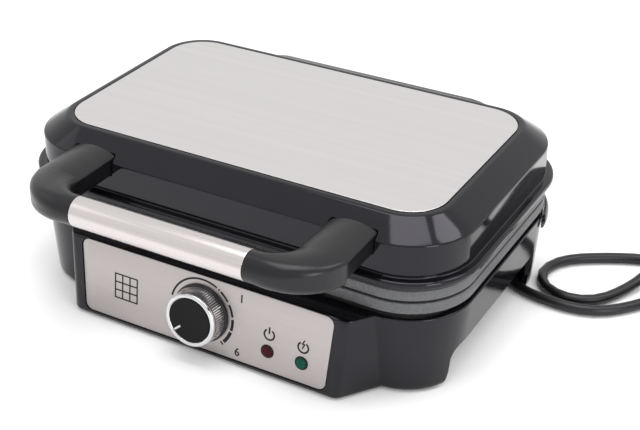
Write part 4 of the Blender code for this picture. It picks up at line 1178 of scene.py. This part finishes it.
    def screws(self) -> None:
        """Pan-head screws with a cross recess in the bottom cover."""
        for number in range(1, 5):
            node = f"cover_screw_{number}"
            low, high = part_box(node)
            radius, (x, y, _) = (high.x - low.x) / 2, middle(node)
            head = low.z + 0.0016
            screw = turned(f"pan_screw_{number}", [
                (0.0006, low.z, 0), (radius * 0.75, low.z, 0.0006), (radius, head, 0.0005),
                (0.0015, head, 0), (0.0015, high.z, 0)], 32)
            combine(screw, [slab(f"slot_{k}", (-wide, -deep, low.z - 0.001),
                                 (wide, deep, low.z + 0.0009))
                            for k, (wide, deep) in enumerate(((0.0003, 0.0016),
                                                              (0.0016, 0.0003)))])
            moved(screw, Matrix.Translation((x, y, 0)))
            dress(screw, self.paint["sheet"], Body.BASE, Slot.SHEET, node)


# ---- Control panel and dial ----------------------------------------------------------------
@dataclass
class Panel:
    """The brushed panel with its printed scale, signs and two lamp lenses."""

    plan: Plan
    paint: dict[str, bpy.types.Material]
    height: float = 0.0475
    bottom_half: float = 0.0840
    corner: float = 0.005
    thickness: float = 0.0010
    sink: float = 0.0004
    scale_radius: float = 0.0214
    lens_places: tuple[tuple[str, float, float], ...] = (
        ("red", 0.0454, -0.0108), ("green", 0.0679, -0.0108))
    lens_radius: float = 0.0040
    ink_height: float = 0.00006

    def place(self) -> Matrix:
        """The panel's own axes: X right, Y up the panel, Z outwards, from the dial's axis."""
        joint = next(j for j in frame["joints"] if j["name"] == "knob_turn")
        out = -Vector(joint["axis"]).normalized()
        right = Vector((1, 0, 0))
        turn = Matrix((right, out.cross(right), out)).transposed().to_4x4()
        return Matrix.Translation(joint["pos_m"]) @ turn

    def outline(self, grow: float, z: float, steps: int = 10) -> Ring:
        """The panel's outline at one depth: narrower at the bottom, with rounded corners."""
        top_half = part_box("control_panel")[1].x
        half_h, radius = self.height / 2 + grow, self.corner + grow
        points: Ring = []
        for side_x, side_y, start in QUARTERS:
            half_w = (top_half if side_y > 0 else self.bottom_half) + grow
            for k in range(steps + 1):
                angle = math.radians(start + 90 * k / steps)
                points.append(Vector((side_x * (half_w - radius) + radius * math.cos(angle),
                                      side_y * (half_h - radius) + radius * math.sin(angle),
                                      z)))
        return points

    def recess(self) -> bpy.types.Object:
        """A cutter for the panel's seat in the control box."""
        floor = -self.sink - self.thickness - HAIR
        return moved(loft("panel_seat", [self.outline(0.0005, floor),
                                         self.outline(0.0005, 0.004)]), self.place())

    def openings(self) -> list[bpy.types.Object]:
        """Cutters for the dial's shaft and the two lenses."""
        holes = [("shaft", 0.0, 0.0, 0.0036)]
        holes += [(name, x, y, self.lens_radius + HAIR) for name, x, y in self.lens_places]
        return [moved(turned(f"hole_{name}", [(radius, -0.009, 0), (radius, 0.005, 0)], 48),
                      self.place() @ Matrix.Translation((x, y, 0)))
                for name, x, y, radius in holes]

    def build(self) -> None:
        """Build and dress the panel, its print and its lenses."""
        front = -self.sink
        plate = loft("panel_plate", [
            self.outline(0, front - self.thickness), self.outline(0, front - 0.0003),
            self.outline(-0.0001, front - 0.0001), self.outline(-0.0003, front)])
        moved(plate, self.place())
        combine(plate, self.openings())
        dress(plate, self.paint["panel"], Body.BASE, Slot.STEEL, "control_panel")
        self.print_marks(front)
        for name, x, y in self.lens_places:
            self.lens(name, x, y, front)

    def lens(self, name: str, x: float, y: float, front: float) -> None:
        """A domed lens in a thin dark collar."""
        r = self.lens_radius
        spot = self.place() @ Matrix.Translation((x, y, front))
        dome = turned(f"{name}_dome", [
            (r * 0.85, -0.0060, 0), (r * 0.85, 0.0002, 0), (r * 0.82, 0.0007, 0.0002),
            (r * 0.60, 0.0011, 0.0006), (r * 0.25, 0.0013, 0.0006), (0.0001, 0.00132, 0)], 40)
        dress(moved(dome, spot), self.paint[name], Body.BASE,
              Slot.RED if name == "red" else Slot.GREEN, f"{name}_lens")
        collar = turned(f"{name}_collar", [
            (r * 0.88, -0.0020, 0), (r * 0.88, 0.0007, 0.0002), (r, 0.0007, 0.0003),
            (r, -0.0020, 0)], 40, True)
        dress(moved(collar, spot), self.paint["satin"], Body.BASE, Slot.SATIN)

    def print_marks(self, front: float) -> None:
        """The printed scale round the dial, its end numbers and the signs over the lenses."""
        shape = bmesh.new()
        level = front + self.ink_height
        arcs = [(166.6, 62.8, 0.0012), (59.2, 56.8, 0.0013), (54, 35, 0.0013),
                (30, 9, 0.0015), (5, -15, 0.0018), (-18, -42, 0.0022), (-45.0, -48.0, 0.0024)]
        for start, end, width in arcs:
            self.arc_strip(shape, (0, 0), self.scale_radius, start, end, width, level)
        power, heat, sign = (0.0461, 0.0003), (0.0684, -0.0006), 0.0033
        self.arc_strip(shape, power, sign, 122, 418, 0.0011, level)
        self.line_strip(shape, [(power[0], power[1] + 0.0006), (power[0], power[1] + 0.0048)],
                        0.0011, level)
        self.arc_strip(shape, heat, sign, 122, 418, 0.0011, level)
        for bolt in ([(0.0008, 0.0048), (-0.0009, 0.0018)], [(-0.0011, 0.0021), (0.0011, 0.0021)],
                     [(0.0009, 0.0024), (-0.0007, -0.0010)]):
            self.line_strip(shape, [(heat[0] + x, heat[1] + y) for x, y in bolt], 0.0008,
                            level)
        self.waffle_sign(shape, (-0.0540, -0.0012), 0.0080, level)
        marks = mesh_object("printed_marks", shape)
        parts = [marks]
        for text, x, y in (("1", 0.0250, 0.0148), ("6", 0.0235, -0.0205)):
            parts.append(self.figure(text, x, y, 0.0072, level))
        joined = join(parts)
        dress(moved(joined, self.place()), self.paint["ink"], Body.BASE, Slot.SATIN)

    def arc_strip(self, shape: bmesh.types.BMesh, centre: tuple[float, float], radius: float,
                  start: float, end: float, width: float, z: float) -> None:
        """Add a flat arc of ink."""
        count = max(2, int(abs(end - start) / 3))
        points = []
        for k in range(count + 1):
            angle = math.radians(start + (end - start) * k / count)
            points.append((centre[0] + radius * math.cos(angle),
                           centre[1] + radius * math.sin(angle)))
        self.line_strip(shape, points, width, z)

    def line_strip(self, shape: bmesh.types.BMesh, points: Sequence[tuple[float, float]],
                   width: float, z: float) -> None:
        """Add a flat stroke of ink along points, as a thin closed plate."""
        spots = [Vector(point) for point in points]
        rows = []
        for k, spot in enumerate(spots):
            ahead = spots[min(k + 1, len(spots) - 1)] - spots[max(k - 1, 0)]
            side = Vector((-ahead.y, ahead.x)).normalized() * width / 2
            rows.append([shape.verts.new((*(spot + side * s), h))
                         for s, h in ((-1, z - self.ink_height), (1, z - self.ink_height),
                                      (1, z), (-1, z))])
        for low, high in zip(rows, rows[1:]):
            for k in range(4):
                n = (k + 1) % 4
                shape.faces.new((low[k], low[n], high[n], high[k]))
        shape.faces.new(list(reversed(rows[0])))
        shape.faces.new(rows[-1])

    def waffle_sign(self, shape: bmesh.types.BMesh, centre: tuple[float, float], half: float,
                    z: float) -> None:
        """Add a small sign of a square waffle with three by three cells."""
        x, y = centre
        for share in (-1, -1 / 3, 1 / 3, 1):
            self.line_strip(shape, [(x - half, y + half * share), (x + half, y + half * share)],
                            0.0009, z)
            self.line_strip(shape, [(x + half * share, y - half - 0.00045),
                                    (x + half * share, y + half + 0.00045)], 0.0009,
                            z + 0.00001)

    def figure(self, text: str, x: float, y: float, size: float, z: float
               ) -> bpy.types.Object:
        """A printed number as plain mesh."""
        curve = bpy.data.curves.new(f"figure_{text}", "FONT")
        curve.body = text
        curve.size = size
        curve.extrude = self.ink_height / 2
        curve.offset = size * 0.018
        writing = bpy.data.objects.new(f"writing_{text}", curve)
        bpy.context.scene.collection.objects.link(writing)
        graph = bpy.context.evaluated_depsgraph_get()
        mesh = bpy.data.meshes.new_from_object(writing.evaluated_get(graph))
        bpy.data.objects.remove(writing, do_unlink=True)
        piece = bpy.data.objects.new(f"figure_{text}", mesh)
        bpy.context.scene.collection.objects.link(piece)
        return moved(piece, Matrix.Translation((x, y, z - self.ink_height / 2)))


def join(parts: Sequence[bpy.types.Object]) -> bpy.types.Object:
    """Join several meshes into the first one."""
    shape = bmesh.new()
    for part in parts:
        shape.from_mesh(part.data)
    shape.to_mesh(parts[0].data)
    shape.free()
    for part in parts[1:]:
        bpy.data.objects.remove(part, do_unlink=True)
    return smooth(parts[0])


@dataclass
class Dial:
    """The browning dial: ridged skirt, polished ring and black cap with a pointer."""

    panel: Panel
    paint: dict[str, bpy.types.Material]
    base_radius: float = 0.0183
    radius: float = 0.0167
    cap_radius: float = 0.0137
    depth: float = 0.0128
    ridges: int = 76
    pointer_degrees: float = -139.0

    def build(self) -> None:
        """Build and dress the dial's pieces."""
        place = self.panel.place()
        ring_z = self.depth - 0.0030
        skirt = turned("dial_skirt", [
            (0.0033, ring_z - 0.004, 0), (0.0033, 0.0030, 0), (0.0060, 0.0030, 0),
            (0.0060, ring_z - 0.003, 0), (self.radius - 0.0025, ring_z - 0.003, 0),
            (self.radius - 0.0025, 0.0010, 0), (self.radius + 0.0003, 0.0010, 0.0002),
            (self.radius - 0.0004, ring_z, 0.0002)], 92)
        # The skirt's dark metal between the ridges is painted shade in the grooves.
        dress(moved(skirt, place), self.paint["groove"], Body.KNOB, Slot.CHROME, "knob_body")
        ridge = self.ridge(ring_z)
        ridges = repeated("dial_ridges", ridge, Pattern.RING, self.paint["knurl"],
                          {"Radius": self.radius - 0.0001, "Count": self.ridges})
        dress(moved(ridges, place), self.paint["knurl"], Body.KNOB, Slot.CHROME)
        flange = turned("dial_flange", [
            (self.radius - 0.0010, 0.0006, 0), (self.base_radius, 0.0006, 0.0003),
            (self.base_radius, 0.0016, 0.0005), (self.radius - 0.0010, 0.0019, 0)], 96, True)
        dress(moved(flange, place), self.paint["satin"], Body.KNOB, Slot.SATIN)
        ring = turned("dial_ring", [
            (self.cap_radius + HAIR, ring_z + HAIR, 0), (self.radius, ring_z + HAIR, 0.0005),
            (self.radius, self.depth - 0.0007, 0.0011),
            (self.radius - 0.0016, self.depth, 0.0010),
            (self.cap_radius + HAIR, self.depth - 0.0006, 0.0004)], 128, True)
        dress(moved(ring, place), self.paint["chrome"], Body.KNOB, Slot.CHROME, "knob_ring")
        face = self.depth - 0.0006
        cap = turned("dial_cap", [
            (self.cap_radius, ring_z + HAIR, 0), (self.cap_radius, face, 0.0004),
            (self.cap_radius * 0.7, face - 0.0002, 0.002), (0.0002, face - 0.0003, 0)], 96)
        angle = math.radians(self.pointer_degrees)
        slot_turn = place @ Matrix.Rotation(angle, 4, "Z")
        groove = moved(slab("pointer_groove", (0.0082, -0.0008, face - 0.0009),
                            (self.cap_radius + 0.001, 0.0008, face + 0.001)), slot_turn)
        cap = combine(moved(cap, place), [groove])
        dress(cap, self.paint["face"], Body.KNOB, Slot.SATIN, "knob_cap")
        pointer = eased(slab("pointer", (0.0084, -0.0006, face - 0.0008),
                             (self.cap_radius - 0.0002, 0.0006, face + 0.0001)), 0.0002)
        dress(moved(pointer, slot_turn), self.paint["pale"], Body.KNOB, Slot.CHROME)

    def ridge(self, ring_z: float) -> bpy.types.Object:
        """One ridge of the skirt, with its outer face along X."""
        half = math.pi * self.radius / self.ridges * 0.88
        rings = [[Vector((x + lean, y, z)) for x, y in ((-0.0006, -half), (0.00045, -half * 0.35),
                                                        (0.00045, half * 0.35), (-0.0006, half))]
                 for z, lean in ((0.0019, 0.0003), (ring_z - 0.0002, -0.0003))]
        return loft("ridge", rings)


# ---- Mains lead ----------------------------------------------------------------------------
@dataclass
class Lead:
    """The free mains lead: strain relief, loose loops, coil and two-pin plug."""

    plan: Plan
    paint: dict[str, bpy.types.Material]
    radius: float = 0.0034
    coil_radius: float = 0.0375
    coil_pitch: float = 0.0069
    coil_turns: float = 2.35
    coil_reach: tuple[float, float] = (0.1495, 0.0555)
    spacing: float = 0.0085
    entry_angle: float = math.atan2(0.8, -0.6)

    def build(self) -> None:
        """Build and dress the lead and the pieces on it."""
        gland = self.gland()
        plug = self.plug()
        route = self.route() + self.coil()
        curve = bpy.data.curves.new("mains_lead", "CURVE")
        curve.dimensions = "3D"
        curve.bevel_depth = self.radius
        curve.bevel_resolution = 5
        curve.use_fill_caps = True
        spline = curve.splines.new("POLY")
        spline.points.add(len(route) - 1)
        for knot, point in zip(spline.points, route):
            knot.co = (*point, 1.0)
        spline.use_smooth = True
        lead = bpy.data.objects.new("mains_lead", curve)
        bpy.context.scene.collection.objects.link(lead)
        dress(lead, self.paint["rubber"], Body.BASE, Slot.RUBBER, "power_cord",
              "power_cord_coil")

    def coil_centre(self) -> Vector:
        """The middle of the coil on the floor."""
        return self.plan.at(self.plan.half_x + self.coil_reach[0],
                            self.plan.half_y + self.coil_reach[1], 0)

    def route(self) -> list[Vector]:
        """The free stretch, as even points on a smooth curve through its bends."""
        _, exit_y, exit_z = middle("cord_gland")
        start = Vector((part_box("cord_gland")[1].x + HAIR, exit_y, exit_z))
        rest, over = self.radius + HAIR, 3 * (self.radius + HAIR)
        corner = self.plan.at(self.plan.half_x, self.plan.half_y, 0)
        bends = [
            (-0.0090, -0.0143, 0.0110), (-0.0005, -0.0195, 0.0062), (0.0095, -0.0255, rest),
            (0.0230, -0.0307, rest), (0.0375, -0.0327, rest), (0.0510, -0.0327, rest),
            (0.0635, -0.0293, rest), (0.0745, -0.0217, rest), (0.0870, -0.0070, rest),
            (0.0970, 0.0105, rest), (0.0990, 0.0275, rest), (0.0900, 0.0415, rest),
            (0.0750, 0.0455, rest), (0.0610, 0.0400, rest), (0.0450, 0.0310, rest),
            (0.0320, 0.0215, rest), (0.0240, 0.0110, rest), (0.0210, -0.0005, rest),
            (0.0228, -0.0103, rest), (0.0295, -0.0190, rest), (0.0407, -0.0233, rest),
            (0.0530, -0.0217, rest), (0.0637, -0.0137, rest), (0.0720, 0.0000, rest + 0.0005),
            (0.0785, 0.0145, rest + 0.0022), (0.0840, 0.0285, over - 0.0012),
            (0.0890, 0.0425, over), (0.0950, 0.0555, over - 0.0020),
            (0.1005, 0.0635, rest + 0.0020)]
        angle = self.entry_angle
        entry = self.coil_centre() + self.coil_radius * Vector(
            (math.cos(angle), math.sin(angle), 0)) + Vector((0, 0, rest))
        heading = Vector((math.sin(angle), -math.cos(angle), 0))
        outer = self.coil_radius + self.radius + HAIR
        clear = math.sqrt((outer + HAIR) ** 2 - (self.coil_radius - self.radius) ** 2)
        points = [start, start + Vector((4 * self.radius, 0, 0))]
        points += [corner + Vector(bend) for bend in bends]
        points.append(entry - heading * (clear + HAIR))
        return evenly(points, self.spacing)

    def coil(self) -> list[Vector]:
        """The wound turns, one diameter apart, and the straight end into the plug."""
        centre, start = self.coil_centre(), self.entry_angle
        steps = int(self.coil_turns * 48)
        sweep = start + 2 * math.pi * int(self.coil_turns)
        points = []
        for k in range(steps + 1):
            angle = start - sweep * k / steps
            rise = self.coil_pitch * sweep * k / steps / (2 * math.pi)
            points.append(centre + Vector((self.coil_radius * math.cos(angle),
                                           self.coil_radius * math.sin(angle),
                                           self.radius + HAIR + rise)))
        plug_x, _, plug_z = middle("plug_body")
        plug_end = Vector((plug_x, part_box("plug_body")[1].y, plug_z))
        last = points[-1]
        for k in range(1, 4):
            points.append(last.lerp(plug_end, k / 3))
        return points

    def gland(self) -> bpy.types.Object:
        """The tapered strain relief, with rings moulded round it."""
        low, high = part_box("cord_gland")
        length = high.x - low.x
        profile = [(0.0070, 0.0, 0), (0.0070, length * 0.15, 0.0005),
                   (0.0060, length * 0.15, 0.0002)]
        bands = 6
        for k in range(bands):
            start = length * (0.18 + 0.78 * k / bands)
            outer = 0.0060 - 0.0013 * k / bands
            profile += [(outer, start + 0.0004, 0.0004), (outer, start + 0.0028, 0.0004),
                        (outer - 0.0009, start + 0.0031, 0.0003),
                        (outer - 0.0009, start + 0.0040, 0.0003)]
        profile += [(0.0040, length, 0)]
        piece = turned("strain_relief", profile, 40)
        place = Matrix.Translation((low.x, *middle("cord_gland")[1:]))
        moved(piece, place @ Matrix.Rotation(math.radians(90), 4, "Y"))
        return dress(piece, self.paint["rubber"], Body.BASE, Slot.RUBBER, "cord_gland")

    def plug(self) -> bpy.types.Object:
        """The moulded plug: ribbed tail, waist and a round front face."""
        low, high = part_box("plug_body")
        length, radius = high.y - low.y, (high.x - low.x) / 2
        profile = [(0.0044, 0.0, 0)]
        for k in range(5):
            z = 0.002 + 0.0042 * k
            outer = 0.0052 + 0.0004 * k
            profile += [(outer, z, 0.0004), (outer, z + 0.0024, 0.0004),
                        (outer - 0.0008, z + 0.0028, 0.0002),
                        (outer - 0.0008, z + 0.0038, 0.0002)]
        profile += [(0.0085, 0.0260, 0.002), (radius * 0.72, 0.0300, 0.004),
                    (radius * 0.86, 0.0400, 0.004), (radius * 0.99, 0.0500, 0.003),
                    (radius, length - 0.0020, 0.0008), (radius - 0.0012, length, 0.0008),
                    (radius * 0.5, length, 0)]
        piece = turned("plug_shell", profile, 64)
        x, _, z = middle("plug_body")
        place = Matrix.Translation((x, high.y, z))
        moved(piece, place @ Matrix.Rotation(math.radians(90), 4, "X"))
        return dress(piece, self.paint["rubber"], Body.BASE, Slot.RUBBER, "plug_body")


def evenly(points: Sequence[Vector], spacing: float) -> list[Vector]:
    """Evenly spaced points on a smooth curve.

    Args:
        points: Where the curve passes.
        spacing: The wanted distance between the results.

    Returns:
        The points on the curve, its two ends among them.
    """
    route = [2 * points[0] - points[1], *points, 2 * points[-1] - points[-2]]
    dense = []
    for a, b, c, d in zip(route, route[1:], route[2:], route[3:]):
        for k in range(24):
            t = k / 24
            dense.append(0.5 * (2 * b + (c - a) * t + (2 * a - 5 * b + 4 * c - d) * t * t
                                + (3 * b - a - 3 * c + d) * t ** 3))
    dense.append(points[-1])
    length = sum((q - p).length for p, q in zip(dense, dense[1:]))
    step = length / max(2, round(length / spacing))
    even, run, target = [dense[0]], 0.0, step
    for p, q in zip(dense, dense[1:]):
        leg = (q - p).length
        while leg > 0 and run + leg >= target - 1e-9 and target < length - step / 2:
            even.append(p.lerp(q, (target - run) / leg))
            target += step
        run += leg
    even.append(dense[-1])
    return even


# ---- Pieces carried over from the frame ----------------------------------------------------
@dataclass
class Carried:
    """CAD nodes whose shape is right and which only need their finish."""

    paint: dict[str, bpy.types.Material]
    finishes: tuple[tuple[str, tuple[str, ...]], ...] = (
        ("sheet", ("handle_rod", "thermostat_shaft", "thermostat_bracket",
                   "lower_heat_shield", "upper_heat_shield", "hinge_pin_left",
                   "hinge_pin_right")),
        ("sheath", ("upper_heating_element", "lower_heating_element")),
        ("ceramic", ("thermostat_body", "thermal_fuse", "terminal_block")),
        ("under", ("bottom_cover", "base_inner_frame")),
        ("lamp", ("red_lamp", "green_lamp")),
        ("chrome", ("plug_pin_left", "plug_pin_right")))

    def build(self) -> None:
        """Set each node's material."""
        for finish, nodes in self.finishes:
            for name in nodes:
                node = frame["nodes"][name]
                for slot in node.material_slots:
                    slot.material = self.paint[finish]
                LOG.info("%s keeps its shape", name)


# ---- Studio --------------------------------------------------------------------------------
@dataclass
class Studio:
    """Camera, pale floor and soft light."""

    plan: Plan
    azimuth: float = 28.796
    elevation: float = 30.242
    roll: float = 0.719
    lens: float = 74.243
    distance: float = 0.82355
    target_z: float = 0.084
    slide: tuple[float, float] = (0.015601, -0.039128)
    world: float = 1.0

    def build(self) -> None:
        """Build the camera, the floor and the lights."""
        self.camera()
        self.floor()
        self.lights()

    def camera(self) -> None:
        """The camera: a long lens from the front right, looking down on the object."""
        a, e, r = (math.radians(v) for v in (self.azimuth, self.elevation, self.roll))
        back = Vector((math.sin(a) * math.cos(e), -math.cos(a) * math.cos(e), math.sin(e)))
        right = Vector((0, 0, 1)).cross(back).normalized()
        up = back.cross(right)
        right, up = (right * math.cos(r) + up * math.sin(r),
                     up * math.cos(r) - right * math.sin(r))
        spot = self.plan.at(0, 0, self.target_z) + back * self.distance
        spot += right * self.slide[0] + up * self.slide[1]
        data = bpy.data.cameras.new("camera")
        data.lens = self.lens
        data.sensor_width = 36.0
        camera = bpy.data.objects.new("camera", data)
        turn = Matrix((right, up, back)).transposed().to_4x4()
        camera.matrix_world = Matrix.Translation(spot) @ turn
        bpy.context.scene.collection.objects.link(camera)
        bpy.context.scene.camera = camera

    def floor(self) -> None:
        """A wide pale floor."""
        shape = bmesh.new()
        corners = [shape.verts.new((x, y, -0.0001))
                   for x, y in ((-6, -6), (6, -6), (6, 6), (-6, 6))]
        shape.faces.new(corners)
        floor = mesh_object("floor", shape)
        graph = Graph("pale_floor")
        graph.fixed(Base_Color=(0.97, 0.97, 0.97, 1.0), Roughness=0.8)
        floor.data.materials.append(graph.material)

    def lights(self) -> None:
        """An even pale surround with four soft boxes."""
        world = bpy.data.worlds.new("surround")
        world.use_nodes = True
        sky = world.node_tree.nodes["Background"]
        sky.inputs["Color"].default_value = (1.0, 1.0, 1.0, 1.0)
        sky.inputs["Strength"].default_value = self.world
        bpy.context.scene.world = world
        for name, place, size, power in (
                ("overhead_box", (0.80, 0.42, 1.25), (0.50, 0.50), 3.4),
                ("top_box", (0.05, -0.05, 1.60), (1.0, 1.0), 11.0),
                ("left_box", (-1.2, -0.5, 1.0), (0.7, 0.7), 0.8),
                ("right_box", (1.0, -0.55, 0.40), (0.35, 0.55), 3.0)):
            data = bpy.data.lights.new(name, "AREA")
            data.shape = "RECTANGLE"
            data.size, data.size_y = size
            data.energy = power
            lamp = bpy.data.objects.new(name, data)
            aim = Vector((0, 0, 0.06)) - Vector(place)
            lamp.matrix_world = (Matrix.Translation(place)
                                 @ aim.to_track_quat("-Z", "Y").to_matrix().to_4x4())
            bpy.context.scene.collection.objects.link(lamp)


def main() -> None:
    """Build the studio, the lead and every sub-assembly, in order."""
    logging.basicConfig(level=logging.INFO, format="%(name)s: %(message)s")
    bpy.context.scene.view_settings.view_transform = "Standard"
    plan = Plan.read()
    Studio(plan).build()
    paint = Finishes().built()
    Lead(plan, paint).build()
    panel = Panel(plan, paint)
    Lid(plan, paint).build()
    Handle(plan, paint).build()
    CookingPlates(plan, paint).build()
    Base(plan, paint).build(panel)
    panel.build()
    Dial(panel, paint).build()
    Carried(paint).build()


if __name__ == "__main__":
    main()
